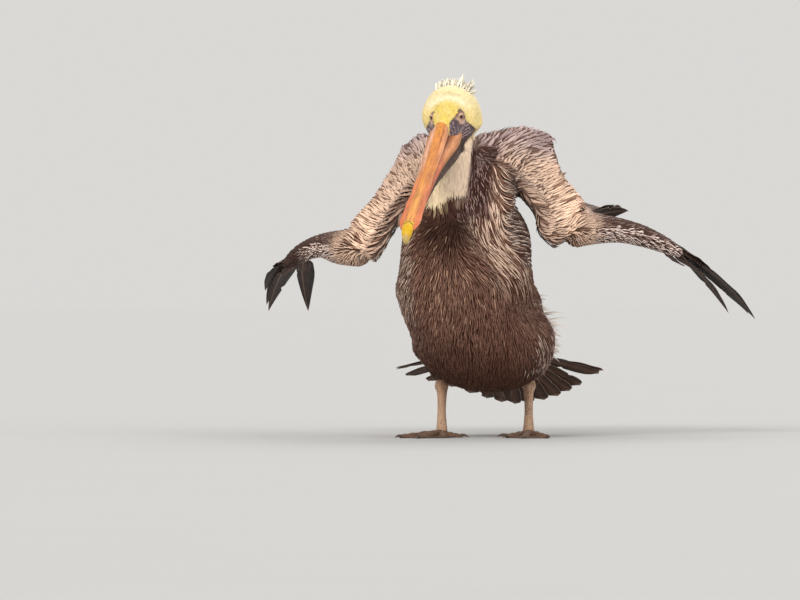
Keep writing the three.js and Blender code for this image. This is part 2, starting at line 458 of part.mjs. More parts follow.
// ---------------------------------------------------------------- scene graph
const pelican = new THREE.Group();
pelican.name = "pelican";
for (const [name, made, color, roughness] of pieces) {
  const m = made.getMesh(), n = m.numProp, v = new Float32Array(m.numVert * 3);
  for (let i = 0; i < m.numVert; i++) v.set(m.vertProperties.subarray(i * n, i * n + 3), i * 3);
  const g = new THREE.BufferGeometry();
  g.setAttribute("position", new THREE.BufferAttribute(v, 3));
  g.setIndex(new THREE.BufferAttribute(m.triVerts, 1));
  g.computeVertexNormals();
  const mesh = new THREE.Mesh(g, new THREE.MeshStandardMaterial({ color, roughness, metalness: 0 }));
  mesh.name = name;
  pelican.add(mesh);
}
// the origin lies on the floor under the middle of the whole bird
const reach = new THREE.Box3().setFromObject(pelican);
pelican.position.set(-(reach.min.x + reach.max.x) / 2, -(reach.min.y + reach.max.y) / 2, -reach.min.z);
export default pelican;
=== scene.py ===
"""A life-size brown pelican in non-breeding plumage: skin, feathers, bill, eyes,
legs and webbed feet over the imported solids. Lengths in the tables are
millimetres in the bird's own layout; SHIFT moves them into the frame."""
import math
import bpy
import numpy as np
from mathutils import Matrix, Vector
from mathutils.bvhtree import BVHTree
from mathutils.kdtree import KDTree


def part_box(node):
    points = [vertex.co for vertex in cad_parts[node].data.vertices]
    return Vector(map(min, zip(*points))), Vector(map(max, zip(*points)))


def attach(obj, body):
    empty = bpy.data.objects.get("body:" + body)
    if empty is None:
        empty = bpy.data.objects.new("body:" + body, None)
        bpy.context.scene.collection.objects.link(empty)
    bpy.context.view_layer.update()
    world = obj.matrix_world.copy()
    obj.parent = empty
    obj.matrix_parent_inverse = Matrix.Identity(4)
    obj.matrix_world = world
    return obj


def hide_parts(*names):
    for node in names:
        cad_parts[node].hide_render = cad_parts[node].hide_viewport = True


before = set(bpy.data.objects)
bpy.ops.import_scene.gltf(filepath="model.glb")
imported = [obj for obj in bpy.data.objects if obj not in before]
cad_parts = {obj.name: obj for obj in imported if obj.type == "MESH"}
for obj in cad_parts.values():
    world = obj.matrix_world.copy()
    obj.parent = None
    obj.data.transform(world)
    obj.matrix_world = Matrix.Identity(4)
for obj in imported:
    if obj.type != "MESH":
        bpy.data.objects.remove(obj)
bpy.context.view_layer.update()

rng = np.random.default_rng(11)
A = lambda *v: np.array(v, float)


# ------------------------------------------------------------------ vectors
def norm(a):
    a = np.asarray(a, float)
    return a / np.maximum(np.linalg.norm(a, axis=-1, keepdims=True), 1e-12)


def along(d, v):
    """The part of v square to d."""
    d, v = np.asarray(d, float), np.asarray(v, float)
    return v - d * np.sum(d * v, axis=-1, keepdims=True)


def dot(a, b):
    return np.sum(a * b, axis=-1, keepdims=True)


def mix(a, b, t):
    a, b = np.asarray(a, float), np.asarray(b, float)
    return a + (b - a) * t


def spline(rows, u):
    """Catmull-Rom through rows of numbers at every u in 0..1."""
    rows = np.asarray(rows, float)
    u = np.atleast_1d(np.asarray(u, float))
    n = len(rows) - 1
    x = np.clip(u, 0, 1) * n
    i = np.minimum(n - 1, np.floor(x).astype(int))
    t = (x - i)[:, None]
    a, b, c, d = rows[np.maximum(0, i - 1)], rows[i], rows[i + 1], rows[np.minimum(n, i + 2)]
    return 0.5 * (2 * b + (c - a) * t + (2 * a - 5 * b + 4 * c - d) * t * t + (3 * b - a - 3 * c + d) * t ** 3)


def smoothstep(a, b, x):
    t = np.clip((np.asarray(x, float) - a) / (b - a), 0, 1)
    return t * t * (3 - 2 * t)


def hashed(p, seed=0.0):
    """A steady value in 0..1 for each row of p."""
    q = np.sin(p @ A(12.9898, 78.233, 37.719)[:p.shape[1]] + seed * 17.13) * 43758.5453
    return q - np.floor(q)


def wave_noise(p, scale, seed=0):
    """Smooth noise in about -1..1 from a few sine waves, p in mm."""
    r = np.random.default_rng(100 + seed)
    out = np.zeros(len(p))
    for k in range(7):
        w = norm(r.normal(size=3)) * (2 * math.pi / (scale * r.uniform(0.6, 1.6)))
        out += np.sin(p @ w + r.uniform(0, 6.28)) * 0.38
    return out


# ------------------------------------------------------------------ tables
BODY_YAW, TRUNK_PITCH = 0.14, 0.96
HEAD, HEAD_AXIS = A(-50, -46, 486), norm(A(-0.17, -0.85, -0.5))
BILL_BASE, BILL_TIP = A(-64, -98, 456), A(-117, -333, 304)
EYE_RADIUS = 6.4
EYE_R = 5.7
SIDES = {
    "left": dict(
        sign=1,
        lead=[[-12, 0, 400], [28, -14, 396], [52, -20, 376], [75, -24, 353], [86, -26, 333], [93, -25, 315], [112, -20, 295]],
        trail=[[-16, 34, 436], [50, 128, 451], [92, 226, 446], [102, 166, 413], [116, 98, 381], [133, 48, 357], [146, 14, 334]],
        hand=[[134, -4, 311], [168, 22, 314], [206, 52, 312], [240, 78, 304], [270, 102, 293], [300, 126, 279]],
        depth=[26, 23, 19, 17, 14, 9],
        tips=dict(p10=[424, 300, 178], p9=[414, 306, 186], p8=[384, 318, 187], p7=[350, 334, 249], p6=[334, 336, 264],
                  p1=[249, 285, 296], s1=[228, 205, 344], s8=[152, 330, 343], s14=[112, 400, 364], t5=[40, 290, 372]),
        ankle=[69, 76, 80], toe=[68, 52, 8], toe_out=-0.12),
    "right": dict(
        sign=-1,
        lead=[[-58, -4, 400], [-86, -20, 396], [-104, -26, 376], [-120, -28, 352], [-136, -28, 328], [-152, -24, 301], [-171, -16, 273]],
        trail=[[-62, 34, 434], [-87, 130, 441], [-105, 230, 431], [-128, 166, 396], [-152, 98, 358], [-174, 48, 331], [-192, 18, 307]],
        hand=[[-186, -2, 285], [-214, 40, 287], [-240, 84, 290], [-262, 124, 285], [-282, 162, 275], [-300, 196, 262]],
        depth=[28, 26, 19, 16, 14, 9],
        tips=dict(p10=[-338, 440, 222], p9=[-336, 446, 200], p8=[-333, 448, 190], p7=[-270, 402, 190], p6=[-246, 398, 280],
                  p1=[-222, 330, 296], s1=[-214, 210, 304], s8=[-158, 322, 326], s14=[-122, 400, 346], t5=[-70, 290, 325]),
        ankle=[-63, 76, 80], toe=[-63, 52, 8], toe_out=0.36),
}
TRUNK = [
    [2, 184, 158, 26, 24], [10, 194, 138, 44, 22], [24, 203, 92, 64, 15], [44, 211, 55, 82, 8],
    [78, 224, 27, 104, 3], [122, 237, 14, 109, -5], [170, 246, 14, 104, -24.5],
    [220, 251, 26, 100, -27], [264, 253, 50, 96, -26.5], [298, 253, 84, 82, -34],
    [326, 250, 124, 76, -27], [346, 244, 168, 58, -27], [356, 234, 196, 38, -27],
]
SIDE0 = A(math.cos(BODY_YAW), -math.sin(BODY_YAW), 0)
AXIS_UP = A(0, -math.cos(TRUNK_PITCH), math.sin(TRUNK_PITCH))
AXIS_BACK = A(0, math.sin(TRUNK_PITCH), math.cos(TRUNK_PITCH))
HEAD_SIDE = norm(along(HEAD_AXIS, A(1, -0.2, 0.04)))
HEAD_UP = np.cross(HEAD_AXIS, HEAD_SIDE)
BILL_AXIS = norm(BILL_TIP - BILL_BASE)
BILL_SIDE = norm(along(BILL_AXIS, A(1, -0.2, -0.06)))
BILL_UP = np.cross(BILL_AXIS, BILL_SIDE)


def at(a, u, s):
    return HEAD + HEAD_AXIS * a + HEAD_UP * u + HEAD_SIDE * s


def head_local(p):
    r = np.asarray(p, float) - HEAD
    return np.stack([r @ HEAD_AXIS, r @ HEAD_UP, r @ HEAD_SIDE], -1)


def bill(t, u, s):
    t, u, s = [np.asarray(v, float)[..., None] for v in (t, u, s)]
    return BILL_BASE + BILL_AXIS * t + BILL_UP * u + BILL_SIDE * s


HEAD_ST = [[-52, -8, 22, 28, 12], [-42, -11, 35, 43, 21], [-24, -13, 43, 50, 29], [-5, -13.5, 45, 53.5, 31],
           [14, -10, 38, 47.5, 30], [28, -3, 27, 33, 32], [42, -5, 21.5, 20, 31], [58, -12, 18, 16, 26]]
NECK_ST = [[-47, -30, 470, 27, 26, 26], [-46, -38, 438, 35, 32, 32], [-48, -46, 402, 34, 33, 32],
           [-52, -50, 366, 32, 34, 32], [-50, -44, 334, 36, 36, 34], [-42, -28, 306, 34, 32, 32]]
EYES = {1: at(29.5, 10, 21.5), -1: at(29.5, 10, -21.5)}
# the frame's origin: the solids are shifted sideways from this layout
lo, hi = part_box("eye_left")
SHIFT = (np.array(lo) + np.array(hi)) / 2 - EYES[1] / 1000
SHIFT[2] = 0.0


def place(v_mm):
    return np.asarray(v_mm, float) / 1000 + SHIFT


# ------------------------------------------------------------------ meshes
def make_mesh(name, verts, faces, material=None, uv=None, attrs=None, colors=None, smooth=True, mats=None, mat_index=None, normals=None):
    """verts in metres; faces: an (n, 3) or (n, 4) array, or a list of such arrays."""
    blocks = [np.asarray(f, np.int32) for f in (faces if isinstance(faces, list) else [faces]) if len(f)]
    me = bpy.data.meshes.new(name)
    verts = np.asarray(verts, np.float32)
    me.vertices.add(len(verts))
    me.vertices.foreach_set("co", verts.ravel())
    loops = np.concatenate([b.ravel() for b in blocks])
    sizes = np.concatenate([np.full(len(b), b.shape[1], np.int32) for b in blocks])
    starts = np.concatenate([[0], np.cumsum(sizes)[:-1]]).astype(np.int32)
    me.loops.add(len(loops))
    me.loops.foreach_set("vertex_index", loops.astype(np.int32))
    me.polygons.add(len(sizes))
    me.polygons.foreach_set("loop_start", starts)
    if mat_index is not None:
        me.polygons.foreach_set("material_index", np.asarray(mat_index, np.int32))
    me.update(calc_edges=True)
    me.polygons.foreach_set("use_smooth", np.full(len(sizes), bool(smooth)))
    if uv is not None:
        layer = me.uv_layers.new(name="OFBake")
        layer.data.foreach_set("uv", np.asarray(uv, np.float32)[loops].ravel())
    for key, val in (attrs or {}).items():
        a = me.attributes.new(key, "FLOAT_VECTOR", "POINT")
        a.data.foreach_set("vector", np.asarray(val, np.float32).ravel())
    for key, val in (colors or {}).items():
        a = me.attributes.new(key, "FLOAT_COLOR", "POINT")
        c = np.asarray(val, np.float32)
        a.data.foreach_set("color", np.concatenate([c, np.ones((len(c), 1), np.float32)], 1).ravel())
    if normals is not None:
        me.normals_split_custom_set_from_vertices(np.asarray(normals, np.float32))
    ob = bpy.data.objects.new(name, me)
    bpy.context.scene.collection.objects.link(ob)
    for m in (mats or ([material] if material else [])):
        me.materials.append(m)
    return ob


def ring_faces(n_rings, n_sides, start=0):
    i = np.arange(n_rings - 1)[:, None] * n_sides
    j = np.arange(n_sides)[None, :]
    k = (j + 1) % n_sides
    a, b = i + j, i + k
    return np.stack([a, b, b + n_sides, a + n_sides], -1).reshape(-1, 4) + start


def capped(rings, first, last):
    """A closed skin over (r, n, 3) rings with a point at each end."""
    r, n = rings.shape[:2]
    v = np.concatenate([rings.reshape(-1, 3), [first, last]])
    j = np.arange(n)
    k = (j + 1) % n
    a = np.stack([np.full(n, r * n), k, j], -1)
    b = np.stack([np.full(n, r * n + 1), (r - 1) * n + j, (r - 1) * n + k], -1)
    q = ring_faces(r, n)
    tris = np.concatenate([a, b])
    vol = np.sum(v[tris[:, 0]] * np.cross(v[tris[:, 1]], v[tris[:, 2]]))
    t = np.concatenate([q[:, [0, 1, 2]], q[:, [0, 2, 3]]])
    vol += np.sum(v[t[:, 0]] * np.cross(v[t[:, 1]], v[t[:, 2]]))
    if vol < 0:
        q, tris = q[:, ::-1], tris[:, ::-1]
    return v, q, tris


def loft(rows, side, sections=40, sides=40, power=2.0, round_end=0.55):
    """Super-elliptic sections through rows of x, y, z, half width, up, down."""
    u = np.linspace(0, 1, sections + 1)
    s = spline(rows, u)
    c = s[:, :3]
    t = norm(spline(rows, u + 0.01)[:, :3] - spline(rows, u - 0.01)[:, :3])
    a = norm(along(t, np.broadcast_to(side, t.shape)))
    up = np.cross(t, a)
    q = 2 * math.pi * (np.arange(sides) + 0.5) / sides
    f = lambda x: np.sign(x) * np.abs(x) ** (2 / power)
    cq, sq = f(np.cos(q)), f(np.sin(q))
    h = np.where(sq > 0, s[:, 4:5], s[:, 5:6]) * sq
    rings = c[:, None] + a[:, None] * (s[:, 3:4] * cq)[..., None] + up[:, None] * h[..., None]
    size = s[:, 3:6].min(1)
    return rings, c[0] - t[0] * size[0] * round_end, c[-1] + t[-1] * size[-1] * round_end, t


def panel(S, rows=60, across=16):
    half = [[20, 20, 20], [15, 17, 22], [13, 14, 22], [13, 14, 19], [14, 15, 18], [15, 17, 18], [17, 20, 20]]
    camber = 6 * S["sign"]
    u = np.linspace(0, 1, rows + 1)
    f, r, h = spline(S["lead"], u), spline(S["trail"], u), spline(half, u)
    e = 0.02
    mid = lambda w: (spline(S["lead"], w) + spline(S["trail"], w)) / 2
    span = norm(mid(u + e) - mid(u - e))
    chord = norm(r - f)
    n = norm(along(chord, along(span, np.cross(chord, span))))
    j = np.linspace(0, 1, across)
    w = np.stack([np.interp(j, [0, 0.5, 1], hh) for hh in h])
    p = f[:, None] + (r - f)[:, None] * j[None, :, None] + n[:, None] * (camber * 4 * j * (1 - j))[None, :, None]
    # rounded front and rear edges
    m = 7
    a = np.linspace(0, math.pi, m + 2)[1:-1]
    lead = f[:, None] - chord[:, None] * (h[:, :1] * np.sin(a) * 0.95)[..., None] - n[:, None] * (h[:, :1] * np.cos(a))[..., None]
    tail = r[:, None] + chord[:, None] * (h[:, 2:] * np.sin(a) * 0.9)[..., None] + n[:, None] * (h[:, 2:] * np.cos(a))[..., None]
    top, bottom = p + n[:, None] * w[..., None], p - n[:, None] * w[..., None]
    rings = np.concatenate([lead, top, tail, bottom[:, ::-1]], 1)
    centre = (f + r) / 2
    first = centre[0] + norm(centre[0] - centre[1]) * h[0, 1] * 0.6
    last = centre[-1] + norm(centre[-1] - centre[-2]) * h[-1, 1] * 0.6
    s_of = np.concatenate([np.zeros(m), j, np.ones(m), j[::-1]])
    face = np.concatenate([np.zeros(m), np.ones(across), np.zeros(m), -np.ones(across)])
    return rings, first, last, chord, n, span, s_of, face


def trunk_rings(sections=70, sides=72):
    u = np.linspace(0, 1, sections + 1)
    s = spline(TRUNK, u)
    c = np.stack([s[:, 4], 0 * u, 0 * u], -1) + AXIS_UP * s[:, :1] + AXIS_BACK * ((s[:, 1:2] + s[:, 2:3]) / 2)
    q = 2 * math.pi * (np.arange(sides) + 0.5) / sides
    k = 1 + 0.05 * np.maximum(0, -np.sin(q)) * np.abs(np.cos(q))
    rings = c[:, None] + SIDE0 * (s[:, 3:4] * np.cos(q) * k)[..., None] + AXIS_BACK * (((s[:, 1:2] - s[:, 2:3]) / 2) * np.sin(q))[..., None]
    return rings, c[0] - AXIS_UP * 6, c[-1] + AXIS_UP * 8


# ------------------------------------------------------------------ body form
# One dense cloud of guide samples comes with the forms: where a point lies on
# its limb (label, u along, s across), the way the feathers lie there, and the
# direction of the limb.
REG = dict(trunk=0, neck=1, head=2, arm_left=3, arm_right=4, hand_left=5, hand_right=6, thigh=7)
parts, guides = [], []


def keep(name, rings, first, last, flow, u, s):
    v, q, t = capped(rings, first, last)
    parts.append((v, q, t))
    p = rings.reshape(-1, 3)
    shape = rings.shape[:2]
    flow = np.broadcast_to(flow, rings.shape).reshape(-1, 3)
    u = np.broadcast_to(u, shape).reshape(-1)
    s = np.broadcast_to(s, shape).reshape(-1)
    guides.append((p, np.full(len(p), REG[name]), norm(flow), u, s))


APEX = A(-62, -96, 330)
tr, t0, t1 = trunk_rings()
u_tr = np.linspace(0, 1, tr.shape[0])[:, None]
radial = norm(tr - APEX)
far = np.linalg.norm(tr - APEX, axis=2, keepdims=True)
flow = norm(radial * np.clip(1.25 - far / 170, 0, 1) - AXIS_UP * (0.25 + np.clip(far / 130, 0, 1.2)) + A(0, 0, -0.35))
fall = smoothstep(-46, -26, tr[..., :1]) * smoothstep(215, 262, tr[..., 2:])
lean = 0.10 + 1.05 * smoothstep(338, 268, tr[..., 2:])
flow = flow * (1 - fall) + norm(np.concatenate([lean, 0 * lean - 0.1, 0 * lean - 1], -1)) * fall
keep("trunk", tr, t0, t1, flow, u_tr, 0)

nk, n0, n1, nt = loft(NECK_ST, A(1, -0.1, 0), 40, 40)
keep("neck", nk, n0, n1, nt[:, None], np.linspace(0, 1, nk.shape[0])[:, None], 0)

head_rows = [[*at(a, u, -1.0 if abs(a + 14) < 12 else -0.5 if a == 14 else 0), w, up, dn] for a, u, w, up, dn in HEAD_ST]
hd, h0, h1, ht = loft(head_rows, HEAD_SIDE, 48, 48)
keep("head", hd, h0, h1, -HEAD_AXIS + A(0, 0, -0.12), np.linspace(0, 1, hd.shape[0])[:, None], 0)

wedge = [[*at(24, 6, 0), 20, 22, 20], [*at(42, 4, -0.5), 13.5, 17.5, 14], [*at(55, 3, -1), 9, 15, 12], [*at(60.5, 2, -1.8), 6, 13, 10]]
wd, w0, w1, wt = loft(wedge, HEAD_SIDE, 24, 32)
keep("head", wd, w0, w1, -HEAD_AXIS + A(0, 0, -0.12), 0.9, 0)

PANEL = {}
for name, S in SIDES.items():
    r, f, l, chord, n, span, s_of, face = panel(S)
    ua = np.linspace(0, 1, r.shape[0])[:, None]
    PANEL[name] = dict(rings=r, chord=chord, normal=n, span=span)
    s3 = np.broadcast_to(s_of[None, :, None], (*r.shape[:2], 1))
    turn_out = (-0.05 + 0.45 * ua[..., None] + 0.75 * s3 ** 1.4) if S["sign"] > 0 else (-0.22 + 0.75 * ua[..., None] + 0.12 * s3)
    edge_run = 0.45 * np.exp(-(s3 / 0.04) ** 2)
    flow = chord[:, None] * 1.0 + span[:, None] * (turn_out + edge_run)
    keep("arm_" + name, r, f, l, flow, ua, s_of[None])
    rows = [[*c, d * 1.15, d, d] for c, d in zip(S["hand"], S["depth"])]
    r, f, l, t = loft(rows, A(0, 1, 0.3), 36, 28)
    uh = np.linspace(0, 1, r.shape[0])[:, None]
    back = norm(np.array(S["tips"]["p6"]) - np.array(S["hand"][3]))
    keep("hand_" + name, r, f, l, t[:, None] * 0.75 + back * 0.8, uh, 0)
    a = np.array(S["ankle"], float)
    g = S["sign"]
    rows = [[*(a + A(-4 * g, -10, 78)), 30, 40, 40], [*(a + A(-3 * g, -8, 50)), 34, 42, 42],
            [*(a + A(-g, -4, 26)), 23, 26, 26], [*(a + A(0, 0, 11)), 11, 12, 12]]
    r, f, l, t = loft(rows, A(1, 0, 0), 24, 28)
    keep("thigh", r, f, l, t[:, None] + A(0, 0.15, 0), np.linspace(0, 1, r.shape[0])[:, None], 0)

G_P = np.concatenate([g[0] for g in guides])
G_R = np.concatenate([g[1] for g in guides])
G_F = np.concatenate([g[2] for g in guides])
G_U = np.concatenate([g[3] for g in guides])
G_S = np.concatenate([g[4] for g in guides])

# the forms melt into one another: one closed skin
vs, qs, ts, off = [], [], [], 0
for v, q, t in parts:
    vs.append(v); qs.append(q + off); ts.append(t + off); off += len(v)
raw = make_mesh("raw_body", np.concatenate(vs) / 1000, [np.concatenate(qs), np.concatenate(ts)])
mod = raw.modifiers.new("melt", "REMESH")
mod.mode = "VOXEL"
mod.voxel_size = 0.0033
dg = bpy.context.evaluated_depsgraph_get()
ev = raw.evaluated_get(dg)
em = ev.to_mesh()
V = np.empty(len(em.vertices) * 3, np.float32)
em.vertices.foreach_get("co", V)
V = V.reshape(-1, 3).astype(float) * 1000
nl = np.empty(len(em.polygons), np.int32)
em.polygons.foreach_get("loop_total", nl)
L = np.empty(len(em.loops), np.int32)
em.loops.foreach_get("vertex_index", L)
F = L.reshape(-1, 4)  # the remesh gives quads only
ev.to_mesh_clear()
bpy.data.objects.remove(raw, do_unlink=True)

E = np.unique(np.sort(np.concatenate([F[:, [0, 1]], F[:, [1, 2]], F[:, [2, 3]], F[:, [3, 0]]]), axis=1), axis=0)
valence = np.bincount(E.ravel(), minlength=len(V)).astype(float)[:, None]


def spread(x, times, w=0.5):
    """Each value drifts towards the mean of its neighbours along the skin."""
    x = np.asarray(x, float)
    flat = x.ndim == 1
    x = x[:, None] if flat else x
    for _ in range(times):
        s = np.zeros_like(x)
        for k in range(x.shape[1]):
            s[:, k] = np.bincount(E[:, 0], x[E[:, 1], k], len(V)) + np.bincount(E[:, 1], x[E[:, 0], k], len(V))
        x = x + (s / valence - x) * w
    return x[:, 0] if flat else x


def mesh_normals(P):
    n = np.zeros_like(P)
    fn = np.cross(P[F[:, 2]] - P[F[:, 0]], P[F[:, 3]] - P[F[:, 1]])
    for k in range(4):
        for c in range(3):
            n[:, c] += np.bincount(F[:, k], fn[:, c], len(P))
    return norm(n)


# smoothing that keeps the volume: a step in, then a slightly larger step out
for _ in range(9):
    V = spread(V, 1, 0.55)
    V = spread(V, 1, -0.53)
V = spread(V, 4, 0.5)
N = mesh_normals(V)

tree = KDTree(len(G_P))
for i, p in enumerate(G_P):
    tree.insert(p, i)
tree.balance()
near = np.array([tree.find(p)[1] for p in V])
R = G_R[near]
FLOW = norm(along(N, G_F[near]))
FLOW = norm(along(N, spread(FLOW, 6)))
FLOW = norm(along(N, spread(FLOW, 4)))
U, SX = G_U[near], G_S[near]
HL = head_local(V)
in_reg = {k: (R == i) for k, i in REG.items()}
soft = {k: spread(in_reg[k].astype(float), 5) for k in REG}


def neck_hem(x):
    """The lower edge of the white neck, lowest beside the bill."""
    return np.interp(x, [-76, -66, -54, -40, -26], [352, 356, 364, 366, 367])


def neck_edge(z):
    """How far towards the bird's left the white of the neck reaches."""
    return np.interp(z, [346, 357, 383, 420, 450], [-38, -31, -23, -19.5, -17])


def bar_edge(z):
    """Where the barred flank begins, out from the breast."""
    return np.interp(z, [245, 267, 285, 299, 315, 350, 392], [68, 55, 40, 31, 30, 28, 25])


def sweep_edges(z):
    """The two edges of the tan plumes, towards the bird's right and left."""
    return (np.interp(z, [205, 217, 266, 299, 334, 350, 376, 415], [34, 27, 2, -14, -24, -6, 6, 6]),
            np.interp(z, [217, 267, 299, 334, 376, 415], [80, 58, 29, 28, 25, 22]))


# brown plumes hang beside the neck; those of the barred flank point outwards
white_neck = ((in_reg["neck"] | in_reg["head"]) & (V[:, 2] > neck_hem(V[:, 0])) & ((V[:, 0] < neck_edge(V[:, 2]) + 1) | (V[:, 2] > 450)))
beside_neck = in_reg["neck"] & ~white_neck
mantle_m = in_reg["arm_left"] & (V[:, 0] + 0.12 * (400 - V[:, 2]) < 12) & (V[:, 2] > 350) & (V[:, 2] < 440) & (N[:, 1] < 0)
bars = in_reg["trunk"] & (V[:, 0] > bar_edge(V[:, 2])) & (V[:, 2] > 262) & (V[:, 2] < 392) & (N[:, 1] < 0.55)
w_m = spread((mantle_m | beside_neck).astype(float), 3)[:, None]
w_b = spread(bars.astype(float), 3)[:, None]
FLOW = FLOW * (1 - w_m) + norm(along(N, A(0.14, -0.2, -1.0))) * w_m
FLOW = FLOW * (1 - w_b) + norm(along(N, A(1.0, 0.35, 0.06))) * w_b
FLOW = norm(along(N, spread(FLOW, 2)))
print("skin", len(V), "verts", len(F), "quads")

# ------------------------------------------------------------------ markings
# Everything below is a rule on place, region and direction, shared by the skin
# and by the feathers that root in it: "tone" is a feather's centre, "dark" its
# edges, partly their own darker colour and partly painted shade, and the painted
# shade of the gaps beneath.
CHOC, CHOC_D = A(0.255, 0.128, 0.090), A(0.056, 0.019, 0.010)
DEEP, DEEP_D = A(0.120, 0.046, 0.026), A(0.032, 0.010, 0.005)
SILV, SILV_D = A(0.900, 0.635, 0.475), A(0.062, 0.022, 0.012)
LILAC = A(0.560, 0.390, 0.330)
BACK, BACK_D = A(0.330, 0.225, 0.180), A(0.075, 0.036, 0.022)
BLACK, BLACK_D = A(0.060, 0.030, 0.020), A(0.016, 0.006, 0.003)
WHITE, WHITE_D = A(1.000, 0.800, 0.610), A(0.950, 0.700, 0.500)
CREAM, CREAM_D = A(0.950, 0.800, 0.420), A(0.900, 0.700, 0.320)
GOLD, GOLD_D = A(0.840, 0.650, 0.165), A(0.780, 0.560, 0.120)


def blend_in(col, target, w):
    w = np.broadcast_to(np.clip(w, 0, 1), (len(col),))
    return col + (target - col) * w[:, None]


